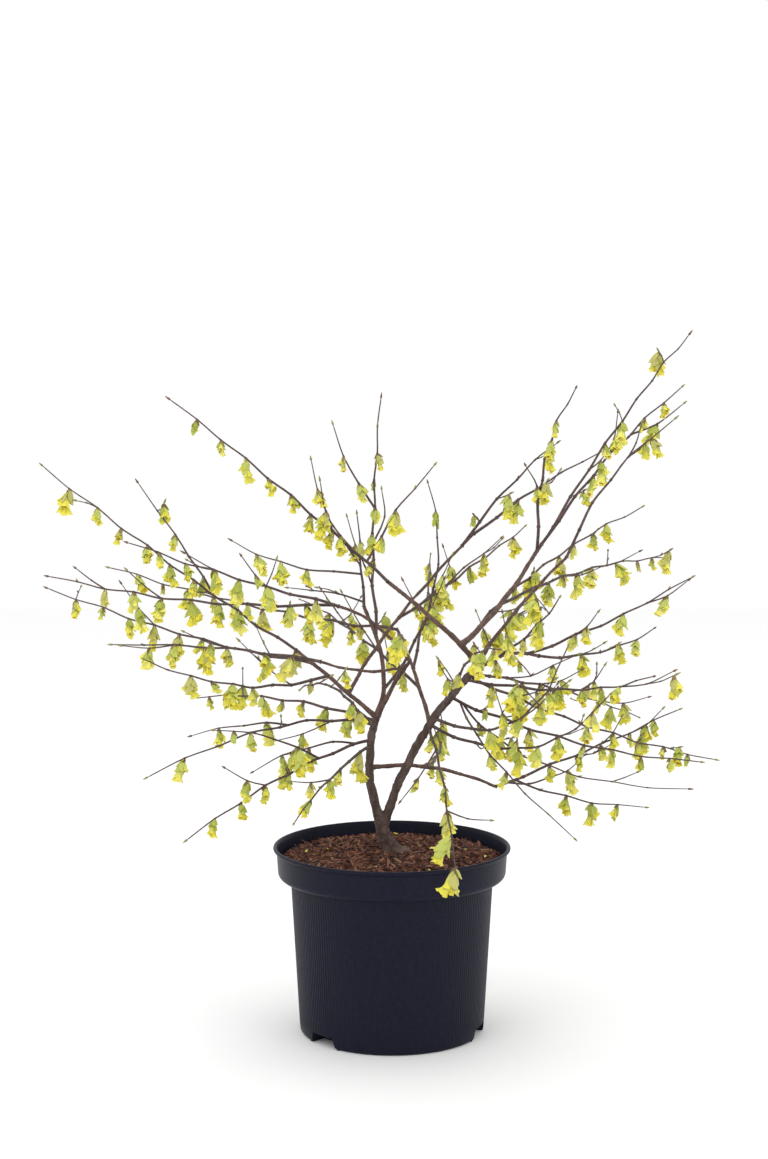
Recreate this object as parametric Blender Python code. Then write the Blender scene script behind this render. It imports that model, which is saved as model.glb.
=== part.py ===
"""A potted buttercup winter hazel: a bare, spreading shrub hung with pale yellow flowers, in a nursery pot.

Metres, +Z up. The origin is the middle of the pot's flat underside. +X is to the right and -Y is
the front of the plant as it is best seen.
"""

import math
import random

import bmesh
import bpy
import numpy as np
from mathutils import Matrix, Vector
from mathutils.bvhtree import BVHTree

# The pot, a ten litre nursery pot
POT_HEIGHT = 0.221
RIM_RADIUS = 0.140
BAND_RADIUS = 0.1365
BAND_HEIGHT = 0.037
BODY_TOP_RADIUS = 0.1195
BODY_FOOT_RADIUS = 0.109
WALL = 0.002
FLOOR = 0.0025
FOOT_FILLET = 0.0045
BAND_FILLET = 0.007
LIP_HEIGHT = 0.005
TURN_STEPS = 48

# The drain notches at the pot's foot
NOTCH_ANGLES = (-138.0, -18.0, 102.0)
NOTCH_FOOT_WIDTH = 0.046
NOTCH_TOP_WIDTH = 0.034
NOTCH_HEIGHT = 0.013
NOTCH_DEPTH = 0.022
POCKET_INSET = 0.0035

# The potting mix, mounded up to a flat place for the trunk
SOIL_EDGE_HEIGHT = 0.204
SOIL_TOP_HEIGHT = 0.210
SOIL_FLAT_RADIUS = 0.055

# Solids that meet stay this far apart
GAP = 0.0003

# The trunk's root flare
FLARE_HEIGHT = 0.014
FLARE_SPREAD = 0.0065
ROOT_REACH = 0.010

# How a limb is made
ZIGZAG = 0.0014
NODE_SPACING = 0.033
TWIG_NODE_SPACING = 0.034
SECTION_GROWTH = 1.25
BEAD_SPACING = 0.003
BASE_ZONE = 0.035
LIMB_ROOM = 0.0011
TWIG_ROOM = 0.0010
SEAT_STEP = 0.0002
SHORTEST_SHARE = 0.15
DEPTH_NUDGES = (0, 8, -8, 16, -16, 24, -24, 32, -32, 40, -40, 50, -50, 60, -60, 70, -70)

# The spray rule: side twigs and hanging flowers
TWIG_LENGTHS = (0.040, 0.085)
TWIG_FORK = (32.0, 52.0)
TWIG_LIFT = 0.35
TWIG_CHANCE = 0.27
TWIG_RADIUS = 0.0009
TWIG_TIP_RADIUS = 0.0005
FLOWER_LENGTHS = (0.017, 0.031)
FLOWER_SLENDERNESS = 0.23
FLOWER_NECK = 0.0012
FLOWER_WIDEST = 0.66
FLOWER_CHANCE = 0.55
BARE_SHARE = 0.30
FLOWER_SWAY = 0.10
CROWN_BOX = ((-0.43, -0.335, 0.216), (0.395, 0.335, 0.822))

# Colours, roughness
BARK = ((0.105, 0.062, 0.050), 0.75)
TWIG_BARK = ((0.080, 0.050, 0.050), 0.65)
PETAL = ((0.80, 0.72, 0.16), 0.55)
POT_PLASTIC = ((0.012, 0.013, 0.022), 0.42)
POTTING_MIX = ((0.085, 0.038, 0.024), 0.95)

# Stems and boughs: name, carrier, where along it, tip, bow of the middle (right, up), radius at
# the foot, radius at the tip
TRUNK_FOOT = (0.002, 0.018)
STEMS_AND_BOUGHS = (
    ("trunk", None, 0.0, (-0.013, 0.012, 0.246), (-0.003, -0.002), 0.0085, 0.0076),
    ("left_stem", "trunk", 1.00, (-0.016, 0.008, 0.378), (-0.012, 0.000), 0.0058, 0.0044),
    ("right_stem", "trunk", 0.80, (0.100, -0.025, 0.436), (-0.009, 0.014), 0.0056, 0.0045),
    ("left_bough", "left_stem", 0.95, (-0.114, 0.045, 0.447), (0.000, 0.001), 0.0030, 0.0022),
    ("cross_bough", "left_bough", 0.35, (0.100, 0.120, 0.580), (-0.016, -0.006), 0.0024, 0.0018),
    ("centre_bough", "left_stem", 1.00, (-0.033, 0.035, 0.500), (0.014, -0.007), 0.0032, 0.0021),
    ("inner_bough", "left_stem", 0.96, (0.021, -0.035, 0.445), (0.002, 0.008), 0.0030, 0.0022),
    ("high_left_bough", "inner_bough", 1.00, (-0.065, -0.075, 0.514), (0.001, 0.011), 0.0022, 0.0018),
    ("mid_left_bough", "inner_bough", 0.85, (-0.080, -0.095, 0.452), (0.002, -0.008), 0.0020, 0.0017),
    ("low_right_bough", "left_stem", 0.50, (0.126, 0.085, 0.274), (0.001, 0.011), 0.0028, 0.0020),
    ("back_bough", "right_stem", 0.58, (0.007, 0.075, 0.468), (0.003, -0.002), 0.0027, 0.0020),
    ("right_bough", "right_stem", 0.98, (0.176, 0.060, 0.438), (0.001, 0.010), 0.0026, 0.0020),
    ("arch_bough", "right_stem", 1.00, (-0.005, -0.100, 0.543), (0.020, -0.012), 0.0038, 0.0023),
    ("tall_bough", "arch_bough", 0.38, (0.179, 0.070, 0.571), (-0.002, -0.013), 0.0035, 0.0024),
    ("outer_bough", "right_stem", 0.96, (0.199, -0.050, 0.566), (-0.008, 0.000), 0.0024, 0.0018),
)

# Sprays: name, carrier, where along it, tip, bow of the middle (right, up)
SPRAY_FOOT_RADIUS = 0.0017
SPRAY_TIP_RADIUS = 0.0006
SPRAYS = (
    ("left_high_spray", "left_bough", 1.00, (-0.403, -0.010, 0.668), (0.012, -0.015)),
    ("left_far_spray", "left_bough", 0.80, (-0.425, 0.150, 0.510), (0.017, -0.014)),
    ("left_front_spray", "left_bough", 0.60, (-0.267, -0.190, 0.467), (0.002, -0.020)),
    ("left_fork_spray", "high_left_bough", 0.95, (-0.285, -0.180, 0.593), (0.004, -0.004)),
    ("left_long_spray", "high_left_bough", 1.00, (-0.390, -0.060, 0.545), (-0.002, -0.011)),
    ("left_level_spray", "mid_left_bough", 1.00, (-0.318, -0.060, 0.467), (0.004, 0.006)),
    ("left_back_low_spray", "left_stem", 0.92, (-0.249, 0.180, 0.368), (-0.012, 0.014)),
    ("left_drooping_spray", "left_stem", 0.88, (-0.280, -0.060, 0.314), (0.020, 0.029)),
    ("left_bottom_spray", "left_stem", 0.75, (-0.227, -0.150, 0.261), (0.008, 0.017)),
    ("left_front_bottom_spray", "left_stem", 0.70, (-0.105, -0.230, 0.297), (-0.005, 0.004)),
    ("top_left_spray", "centre_bough", 0.75, (-0.013, 0.040, 0.745), (-0.006, -0.002)),
    ("cut_stub_spray", "centre_bough", 1.00, (-0.041, 0.030, 0.609), (0.001, -0.005)),
    ("top_middle_spray", "centre_bough", 0.25, (0.045, 0.140, 0.640), (0.033, -0.006)),
    ("left_back_spray", "back_bough", 1.00, (-0.353, 0.190, 0.532), (0.014, -0.012)),
    ("arch_left_spray", "arch_bough", 1.00, (-0.250, -0.060, 0.745), (0.013, -0.006)),
    ("cross_far_spray", "cross_bough", 1.00, (0.266, 0.210, 0.678), (0.001, 0.007)),
    ("cross_high_spray", "cross_bough", 0.93, (0.195, 0.060, 0.692), (-0.002, 0.008)),
    ("cross_back_spray", "cross_bough", 0.50, (0.172, 0.270, 0.578), (0.008, 0.003)),
    ("right_back_high_spray", "tall_bough", 0.08, (0.319, 0.240, 0.605), (-0.017, 0.004)),
    ("right_back_level_spray", "tall_bough", 0.50, (0.359, 0.290, 0.536), (-0.004, 0.012)),
    ("right_high_spray", "tall_bough", 1.00, (0.351, 0.120, 0.758), (-0.002, 0.013)),
    ("right_top_spray", "tall_bough", 0.90, (0.346, 0.030, 0.819), (0.014, 0.032)),
    ("right_front_top_spray", "tall_bough", 0.95, (0.203, -0.100, 0.758), (-0.011, 0.016)),
    ("right_outer_spray", "outer_bough", 1.00, (0.318, -0.060, 0.723), (-0.011, 0.011)),
    ("right_bud_spray", "right_stem", 0.99, (0.181, -0.170, 0.532), (0.008, -0.004)),
    ("right_back_spray", "right_bough", 1.00, (0.330, 0.190, 0.455), (0.004, -0.012)),
    ("right_middle_spray", "right_bough", 0.80, (0.349, 0.000, 0.538), (0.005, -0.004)),
    ("right_back_low_spray", "right_stem", 0.95, (0.319, 0.250, 0.333), (0.004, 0.007)),
    ("right_far_spray", "right_stem", 0.93, (0.385, 0.040, 0.316), (-0.006, -0.009)),
    ("right_front_spray", "right_stem", 0.90, (0.275, -0.240, 0.456), (0.018, -0.013)),
    ("right_low_spray", "right_stem", 0.77, (0.348, -0.090, 0.337), (-0.003, -0.014)),
    ("right_front_low_spray", "right_stem", 0.58, (0.232, -0.210, 0.431), (0.014, -0.042)),
    ("right_front_rising_spray", "right_stem", 0.62, (0.183, -0.260, 0.490), (0.018, -0.042)),
    ("front_drooping_spray", "right_stem", 0.57, (0.068, -0.200, 0.241), (0.000, 0.020)),
    ("right_bottom_spray", "low_right_bough", 1.00, (0.353, 0.120, 0.363), (0.004, -0.001)),
    ("front_spray", "inner_bough", 0.60, (0.012, -0.310, 0.504), (-0.004, 0.022)),
    ("front_left_spray", "left_stem", 0.85, (-0.095, -0.320, 0.454), (-0.005, 0.024)),
    ("front_right_spray", "right_stem", 0.72, (0.108, -0.325, 0.496), (0.000, 0.021)),
    ("back_spray", "back_bough", 0.60, (0.052, 0.320, 0.538), (0.005, 0.011)),
    ("back_left_spray", "back_bough", 0.40, (-0.119, 0.310, 0.479), (-0.007, 0.014)),
    ("back_right_spray", "right_stem", 0.85, (0.204, 0.325, 0.464), (0.007, 0.032)),
    ("back_low_spray", "low_right_bough", 0.40, (0.065, 0.320, 0.332), (0.011, -0.016)),
)

# The longer side twigs: spray, where along it, tip, bow of the middle (right, up)
LONG_TWIGS = (
    ("left_high_spray", 0.37, (-0.300, 0.050, 0.645), (0.008, -0.008)),
    ("arch_left_spray", 0.16, (-0.080, -0.110, 0.655), (-0.008, -0.006)),
    ("arch_left_spray", 0.12, (0.045, -0.150, 0.675), (-0.004, 0.004)),
    ("top_left_spray", 0.55, (-0.068, 0.000, 0.715), (-0.004, -0.004)),
    ("top_left_spray", 0.40, (-0.012, 0.090, 0.635), (0.008, 0.000)),
    ("cut_stub_spray", 0.40, (-0.190, 0.070, 0.575), (-0.004, -0.010)),
    ("cut_stub_spray", 0.06, (-0.120, 0.010, 0.525), (-0.002, 0.004)),
    ("left_drooping_spray", 0.46, (-0.235, 0.010, 0.350), (0.004, 0.006)),
    ("left_bottom_spray", 0.10, (-0.160, -0.030, 0.315), (0.004, 0.012)),
    ("left_bottom_spray", 0.33, (-0.195, -0.160, 0.385), (-0.004, 0.010)),
    ("right_front_top_spray", 0.20, (0.155, -0.010, 0.668), (0.004, 0.004)),
    ("cross_back_spray", 0.12, (0.135, 0.170, 0.570), (0.006, 0.004)),
    ("right_high_spray", 0.64, (0.355, 0.130, 0.738), (0.000, -0.004)),
    ("right_low_spray", 0.05, (0.345, -0.020, 0.292), (-0.030, -0.024)),
    ("right_low_spray", 0.04, (0.200, -0.160, 0.265), (-0.020, 0.006)),
    ("right_bottom_spray", 0.10, (0.300, 0.020, 0.262), (0.000, -0.008)),
    ("right_bottom_spray", 0.06, (0.240, 0.150, 0.300), (0.004, -0.012)),
)

STEM_SIDES = 12
BOUGH_SIDES = 8
TWIG_SIDES = 3
FLOWER_SIDES = 5
BOUGH_SEGMENT = 0.026


def clear_scene():
    for obj in list(bpy.data.objects):
        bpy.data.objects.remove(obj, do_unlink=True)


def finish_material(name, look):
    colour, roughness = look
    material = bpy.data.materials.new(name)
    material.use_nodes = True
    shader = material.node_tree.nodes["Principled BSDF"]
    shader.inputs["Base Color"].default_value = (*colour, 1.0)
    shader.inputs["Roughness"].default_value = roughness
    shader.inputs["Metallic"].default_value = 0.0
    return material


def object_from(name, bm, *looks):
    """Makes an object of a bmesh, with its own materials."""
    mesh = bpy.data.meshes.new(name)
    bm.to_mesh(mesh)
    bm.free()
    for number, look in enumerate(looks):
        mesh.materials.append(finish_material(f"{name}_finish_{number + 1}", look))
    obj = bpy.data.objects.new(name, mesh)
    bpy.context.scene.collection.objects.link(obj)
    return obj


def shade_round(obj, sharp_degrees=35.0):
    obj.data.shade_smooth()
    obj.data.set_sharp_from_angle(angle=math.radians(sharp_degrees))


# The growth rule, in plain points and radii


def unit(vector):
    return vector / np.linalg.norm(vector)


def curve_points(start, tip, bow, count):
    """Points from start to tip, on a curve whose middle is pushed aside by the bow."""
    middle = (start + tip) / 2 + 2 * bow
    share = np.linspace(0.0, 1.0, count + 1)[:, None]
    return (1 - share) ** 2 * start + 2 * share * (1 - share) * middle + share**2 * tip


def zigzag(points, seed, amount):
    """Moves each inner point a little aside, turn and turn about, as shoots do at their nodes."""
    rule = random.Random(seed)
    along = unit(points[-1] - points[0])
    side = unit(np.cross(along, (0.3, 1.0, 0.2)))
    other = np.cross(along, side)
    moved = points.copy()
    for index in range(1, len(points) - 1):
        turn = -1 if index % 2 else 1
        moved[index] += turn * amount * rule.uniform(0.4, 1.3) * side
        moved[index] += amount * rule.uniform(-0.6, 0.6) * other
    return moved


def place_along(points, share):
    """The place at a share of the way along a chain of points."""
    place = share * (len(points) - 1)
    index = min(int(place), len(points) - 2)
    return points[index] + (place - index) * (points[index + 1] - points[index])


def radii_along(count, foot, tip):
    return np.linspace(foot, tip, count + 1)


def beads(points, radii, skip=0.0):
    """Close samples along a chain, each a place and a radius, past the first stretch."""
    places, sizes = [], []
    walked = 0.0
    for index in range(len(points) - 1):
        step = points[index + 1] - points[index]
        length = np.linalg.norm(step)
        count = max(1, math.ceil(length / BEAD_SPACING))
        for part in range(count):
            share = part / count
            if walked + share * length >= skip:
                places.append(points[index] + share * step)
                sizes.append(radii[index] + share * (radii[index + 1] - radii[index]))
        walked += length
    places.append(points[-1])
    sizes.append(radii[-1])
    return np.array(places), np.array(sizes)


class Crown:
    """Every limb, twig and flower laid so far, as tapered lengths that others keep clear of."""

    def __init__(self):
        self.starts = np.empty((0, 3))
        self.steps = np.empty((0, 3))
        self.start_radii = np.empty(0)
        self.radius_steps = np.empty(0)
        self.owners = []

    def hold(self, owner, points, radii):
        self.starts = np.vstack([self.starts, points[:-1]])
        self.steps = np.vstack([self.steps, points[1:] - points[:-1]])
        self.start_radii = np.append(self.start_radii, radii[:-1])
        self.radius_steps = np.append(self.radius_steps, radii[1:] - radii[:-1])
        self.owners += [owner] * (len(points) - 1)

    def room(self, points, radii, owners_passed, skip=0.0):
        """The least room between a chain and what is held, apart from the owners passed over."""
        kept = np.array([owner not in owners_passed for owner in self.owners], bool)
        if not kept.any():
            return math.inf
        places, sizes = beads(points, radii, skip)
        starts, steps = self.starts[kept], self.steps[kept]
        offset = places[:, None, :] - starts[None, :, :]
        share = (offset * steps).sum(axis=2) / (steps**2).sum(axis=1)
        share = np.clip(share, 0.0, 1.0)
        apart = np.linalg.norm(offset - share[:, :, None] * steps, axis=2)
        thickness = self.start_radii[kept] + share * self.radius_steps[kept]
        return float((apart - thickness - sizes[:, None]).min())


def section_radius(radius, sides):
    """The corner radius of a section, a little larger on few sides so that it looks as thick."""
    return radius * (SECTION_GROWTH if sides == TWIG_SIDES else 1.0)


def lay_limb(crown, laid, name, carrier, share, tip, bow, radii, sides, spacing, waver):
    """Lays a limb from its carrier to its tip, with its middle moved in depth until it is clear."""
    if carrier is None:
        start = np.array((*TRUNK_FOOT, SOIL_TOP_HEIGHT + GAP))
    else:
        start = place_along(laid[carrier][0], share)
    tip = np.array(tip)
    count = max(4, round(np.linalg.norm(tip - start) / spacing))
    widths = section_radius(radii_along(count, *radii), sides)
    best = None
    for nudge in DEPTH_NUDGES:
        push = np.array((bow[0], nudge / 1000, bow[1]))
        points = zigzag(curve_points(start, tip, push, count), name, waver)
        room = crown.room(points, widths, (), BASE_ZONE)
        if best is None or room > best[0]:
            best = (room, points)
        if room > LIMB_ROOM:
            break
    room, points = best
    if room < LIMB_ROOM and carrier is not None:
        print(f"{name} has only {room * 1000:.2f} mm of room")
    crown.hold(name, points, widths)
    laid[name] = (points, widths, carrier, sides)


def lay_limbs(crown):
    laid = {}
    for name, carrier, share, tip, bow, foot, end in STEMS_AND_BOUGHS:
        sides = STEM_SIDES if name in ("trunk", "left_stem", "right_stem") else BOUGH_SIDES
        lay_limb(crown, laid, name, carrier, share, tip, bow, (foot, end), sides, BOUGH_SEGMENT, 0.0005)
    for name, carrier, share, tip, bow in SPRAYS:
        radii = (SPRAY_FOOT_RADIUS, SPRAY_TIP_RADIUS)
        lay_limb(crown, laid, name, carrier, share, tip, bow, radii, TWIG_SIDES, NODE_SPACING, ZIGZAG)
    return laid


def inside_crown(points):
    low, high = np.array(CROWN_BOX)
    return bool((points >= low).all() and (points <= high).all())


def lay_twig(crown, spray, start, tip, bow, seed, radius):
    """A side twig of a spray, or None where it would touch another limb or leave the crown."""
    count = max(2, round(np.linalg.norm(tip - start) / TWIG_NODE_SPACING))
    points = zigzag(curve_points(start, tip, bow, count), seed, ZIGZAG)
    widths = section_radius(radii_along(count, radius, TWIG_TIP_RADIUS), TWIG_SIDES)
    if not inside_crown(points) or crown.room(points, widths, (spray,)) < TWIG_ROOM:
        return None
    crown.hold(spray, points, widths)
    return points, widths


def short_twigs(rule, points):
    """Start, tip and bow of each short side twig, turn and turn about from the nodes of a shoot."""
    for index in range(2, len(points) - 2):
        chosen = rule.random() < TWIG_CHANCE
        length = rule.uniform(*TWIG_LENGTHS) * (1.15 - 0.5 * index / len(points))
        fork = math.radians(rule.uniform(*TWIG_FORK)) * (-1 if index % 2 else 1)
        roll = rule.uniform(-0.9, 0.9)
        if not chosen:
            continue
        along = unit(points[index + 1] - points[index])
        side = unit(np.cross(along, (0.0, 0.25, 1.0)))
        other = np.cross(side, along)
        away = math.cos(roll) * side + math.sin(roll) * other
        heading = unit(math.cos(fork) * along + math.sin(fork) * away + (0.0, 0.0, TWIG_LIFT))
        tip = points[index] + length * heading
        bow = np.array((0.0, 0.0, -0.06 * length))
        yield points[index], tip, bow


def flower_places(rule, points, bare_share):
    """Top, length and sway of each flower hanging from the nodes of a shoot."""
    for index in range(1, len(points) - 1):
        chosen = rule.random() < FLOWER_CHANCE
        size = rule.random()
        sway = (rule.uniform(-FLOWER_SWAY, FLOWER_SWAY), rule.uniform(-FLOWER_SWAY, FLOWER_SWAY))
        share = index / (len(points) - 1)
        if not chosen or share < bare_share:
            continue
        shortest, longest = FLOWER_LENGTHS
        length = (shortest + size * (longest - shortest)) * (1.08 - 0.35 * share)
        yield points[index], length, sway


def flower_chain(top, length, sway):
    """A hanging flower's centres and radii: a narrow neck, its widest place, its tip."""
    hang = np.array((sway[0], sway[1], -1.0)) * length
    centres = np.array([top, top + FLOWER_WIDEST * hang, top + hang])
    radii = np.array([FLOWER_NECK, FLOWER_SLENDERNESS * length, 0.0])
    return centres, radii


def grow_spray(crown, laid, name):
    """The twigs and flowers of one spray, each kept clear of every other limb."""
    rule = random.Random(name + " growth")
    leader, widths = laid[name][:2]
    shoots = [(leader, widths)]
    for number, (spray, share, tip, bow) in enumerate(LONG_TWIGS):
        if spray != name:
            continue
        start = place_along(leader, share)
        push = np.array((bow[0], 0.0, bow[1]))
        twig = lay_twig(crown, name, start, np.array(tip), push, f"{name} {number}", 1.4 * TWIG_RADIUS)
        if twig is None:
            print(f"a long twig of {name} is skipped")
        else:
            shoots.append(twig)
    for number, (start, tip, bow) in enumerate(short_twigs(rule, leader)):
        twig = lay_twig(crown, name, start, tip, bow, f"{name} side {number}", TWIG_RADIUS)
        if twig is not None:
            shoots.append(twig)
    flowers = []
    for number, (points, _) in enumerate(shoots):
        bare_share = BARE_SHARE if number == 0 else 0.1
        for top, length, sway in flower_places(rule, points, bare_share):
            centres, radii = flower_chain(top, length, sway)
            if inside_crown(centres) and crown.room(centres, radii, (name,)) > TWIG_ROOM:
                crown.hold(name, centres, radii)
                flowers.append((centres, radii))
    return shoots, flowers


# Solids from the chains


def ring_matrices(centres, radii):
    """A frame for each ring of a sweep: its place, its turn without twist, its radius."""
    centres = [Vector(centre) for centre in centres]
    steps = [(after - before).normalized() for before, after in zip(centres, centres[1:])]
    axes = [steps[0]]
    axes += [(before + after).normalized() for before, after in zip(steps, steps[1:])]
    axes.append(steps[-1])
    turn = Vector((0.0, 0.0, 1.0)).rotation_difference(axes[0])
    matrices = []
    for index, (centre, axis, radius) in enumerate(zip(centres, axes, radii)):
        if index:
            turn = axes[index - 1].rotation_difference(axis) @ turn
        matrices.append(Matrix.LocRotScale(centre, turn, Vector((radius, radius, radius))))
    return matrices


def sweep(bm, centres, radii, sides, pointed=False):
    """A closed tapered body along the centres, drawn out ring by ring from a flat foot."""
    if pointed:
        radii = [*radii[:-1], radii[-2] * 0.05]
    matrices = ring_matrices(centres, radii)
    made = bmesh.ops.create_circle(bm, cap_ends=True, radius=1.0, segments=sides, matrix=matrices[0])
    verts = made["verts"]
    cap = verts[0].link_faces[0]
    for number, (before, after) in enumerate(zip(matrices, matrices[1:])):
        grown = bmesh.ops.extrude_face_region(bm, geom=[cap])["geom"]
        if number:
            bmesh.ops.delete(bm, geom=[cap], context="FACES_ONLY")
        verts = [item for item in grown if isinstance(item, bmesh.types.BMVert)]
        cap = next(item for item in grown if isinstance(item, bmesh.types.BMFace))
        bmesh.ops.transform(bm, matrix=after @ before.inverted(), verts=verts)
    if pointed:
        bmesh.ops.pointmerge(bm, verts=verts, merge_co=Vector(centres[-1]))
    bmesh.ops.recalc_face_normals(bm, faces=bm.faces[:])


def section_samples(centre, matrix, sides):
    """Places round a section and at its middle, used to see how near it comes to its carrier."""
    samples = [centre]
    for corner in range(sides * 2):
        angle = math.pi * corner / sides
        reach = 1.0 if corner % 2 == 0 else math.cos(math.pi / sides)
        samples.append(matrix @ Vector((reach * math.cos(angle), reach * math.sin(angle), 0.0)))
    return samples


def cut_back(points, widths, walk, seat):
    """The chain from a distance along it to its tip, without a very short first length."""
    index = int(np.searchsorted(walk, seat, side="right")) - 1
    length = walk[index + 1] - walk[index]
    share = (seat - walk[index]) / length
    centre = points[index] + share * (points[index + 1] - points[index])
    radius = widths[index] + share * (widths[index + 1] - widths[index])
    first_kept = index + 1
    if walk[first_kept] - seat < SHORTEST_SHARE * length and first_kept < len(points) - 1:
        first_kept += 1
    return np.vstack([[centre], points[first_kept:]]), np.append([radius], widths[first_kept:])


def rough_seat(points, widths, walk, sides, tree):
    """How far along a limb its section first comes near what was laid before, from its tip inwards."""
    for seat in np.arange(BASE_ZONE + 0.015, 0.0, -SEAT_STEP):
        chain, radii = cut_back(points, widths, walk, seat)
        matrix = ring_matrices(chain[:2], radii[:2])[0]
        samples = section_samples(Vector(chain[0]), matrix, sides)
        if min(tree.find_nearest(sample)[3] for sample in samples) < GAP + SEAT_STEP:
            return seat + SEAT_STEP
    return 0.0


def touches(chain, radii, sides, tree):
    """Whether a limb, made one gap thicker and longer, would cut what was laid before."""
    toward = unit(chain[0] - chain[1])
    longer = np.vstack([[chain[0] + GAP * toward], chain[1:]])
    bm = bmesh.new()
    sweep(bm, longer, radii + GAP, sides, pointed=sides == TWIG_SIDES)
    cut = BVHTree.FromBMesh(bm).overlap(tree)
    bm.free()
    return bool(cut)


def seated(points, widths, sides, tree):
    """Cuts a limb's foot back to where it stands one gap clear of what was laid before it."""
    lengths = np.linalg.norm(points[1:] - points[:-1], axis=1)
    walk = np.concatenate([[0.0], np.cumsum(lengths)])
    seat = rough_seat(points, widths, walk, sides, tree)
    chain, radii = cut_back(points, widths, walk, seat)
    while touches(chain, radii, sides, tree):
        seat += SEAT_STEP
        chain, radii = cut_back(points, widths, walk, seat)
    return chain, radii


def flare_roots(bm, foot):
    """Spreads the trunk's foot into a root flare, with one root running off to the right."""
    for vert in bm.verts:
        height = vert.co.z - foot[2]
        if height > FLARE_HEIGHT:
            continue
        share = (1.0 - height / FLARE_HEIGHT) ** 2
        outward = Vector((vert.co.x - foot[0], vert.co.y - foot[1], 0.0))
        if outward.length < 0.001:
            continue
        angle = math.atan2(outward.y, outward.x)
        lobes = 0.65 + 0.35 * math.cos(3.0 * angle)
        root = ROOT_REACH * max(0.0, math.cos(angle + 0.25)) ** 6
        vert.co += outward.normalized() * share * (FLARE_SPREAD * lobes + root)


def trunk_chain(points, widths):
    """The trunk's chain with close rings in the root flare, the first two one above the other."""
    foot = points[0]
    heights = (0.0, 0.003, 0.008, FLARE_HEIGHT, 0.024)
    chain = [foot, foot + (0.0, 0.0, heights[1])]
    rise = points[-1][2] - foot[2]
    for height in heights[2:]:
        chain.append(place_along(points, height / rise))
    chain.append(points[-1])
    radii = [widths[0] + (widths[-1] - widths[0]) * (place[2] - foot[2]) / rise for place in chain]
    return np.array(chain), np.array(radii)


def triangles_of(bm):
    """The corners and faces of a bmesh, for a search tree."""
    bm.verts.ensure_lookup_table()
    corners = [vert.co.copy() for vert in bm.verts]
    faces = [[vert.index for vert in face.verts] for face in bm.faces]
    return corners, faces


def make_limb_meshes(laid):
    """A bmesh for each stem, bough and spray leader, each seated clear of those before it."""
    meshes = {}
    corners, faces = [], []
    for name, (points, widths, carrier, sides) in laid.items():
        if carrier is None:
            points, widths = trunk_chain(points, widths)
        else:
            tree = BVHTree.FromPolygons(corners, faces)
            points, widths = seated(points, widths, sides, tree)
        bm = bmesh.new()
        sweep(bm, points, widths, sides, pointed=sides == TWIG_SIDES)
        if carrier is None:
            flare_roots(bm, points[0])
        bm.verts.index_update()
        new_corners, new_faces = triangles_of(bm)
        faces += [[index + len(corners) for index in face] for face in new_faces]
        corners += new_corners
        meshes[name] = bm
    return meshes


def fuse(target, pieces):
    """Joins the pieces to the target by one Boolean union, and removes them."""
    group = bpy.data.collections.new(target.name + "_pieces")
    bpy.context.scene.collection.children.link(group)
    for piece in pieces:
        bpy.context.scene.collection.objects.unlink(piece)
        group.objects.link(piece)
    union = target.modifiers.new("fuse", "BOOLEAN")
    union.operation = "UNION"
    union.operand_type = "COLLECTION"
    union.collection = group
    union.solver = "EXACT"
    with bpy.context.temp_override(object=target, active_object=target):
        bpy.ops.object.modifier_apply(modifier=union.name)
    for piece in pieces:
        bpy.data.objects.remove(piece, do_unlink=True)
    bpy.data.collections.remove(group)


def make_spray(name, leader_mesh, shoots, flowers):
    """One spray: its leader with its twigs and flowers fused on."""
    spray = object_from(name, leader_mesh, TWIG_BARK, PETAL)
    pieces = []
    for points, widths in shoots[1:]:
        bm = bmesh.new()
        sweep(bm, points, widths, TWIG_SIDES, pointed=True)
        pieces.append(object_from(f"{name}_twig", bm, TWIG_BARK, PETAL))
    for centres, radii in flowers:
        bm = bmesh.new()
        sweep(bm, centres, radii, FLOWER_SIDES, pointed=True)
        for face in bm.faces:
            face.material_index = 1
        pieces.append(object_from(f"{name}_flower", bm, TWIG_BARK, PETAL))
    if pieces:
        fuse(spray, pieces)
    return spray


# The pot and its potting mix


def arc(centre, radius, start_degrees, end_degrees, steps):
    """Points on an arc in the turning profile, as (distance from the axis, height)."""
    angles = np.radians(np.linspace(start_degrees, end_degrees, steps + 1))
    return [(centre[0] + radius * math.cos(a), centre[1] + radius * math.sin(a)) for a in angles]


def turn_profile(profile):
    """A closed round body, turned from a profile that starts and ends on the axis."""
    bm = bmesh.new()
    verts = [bm.verts.new((radius, 0.0, height)) for radius, height in profile]
    edges = [bm.edges.new(pair) for pair in zip(verts, verts[1:])]
    bmesh.ops.spin(
        bm,
        geom=verts + edges,
        cent=(0.0, 0.0, 0.0),
        axis=(0.0, 0.0, 1.0),
        angle=math.tau,
        steps=TURN_STEPS,
        use_merge=True,
    )
    bmesh.ops.remove_doubles(bm, verts=bm.verts[:], dist=1e-6)
    bmesh.ops.recalc_face_normals(bm, faces=bm.faces[:])
    return bm


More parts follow.
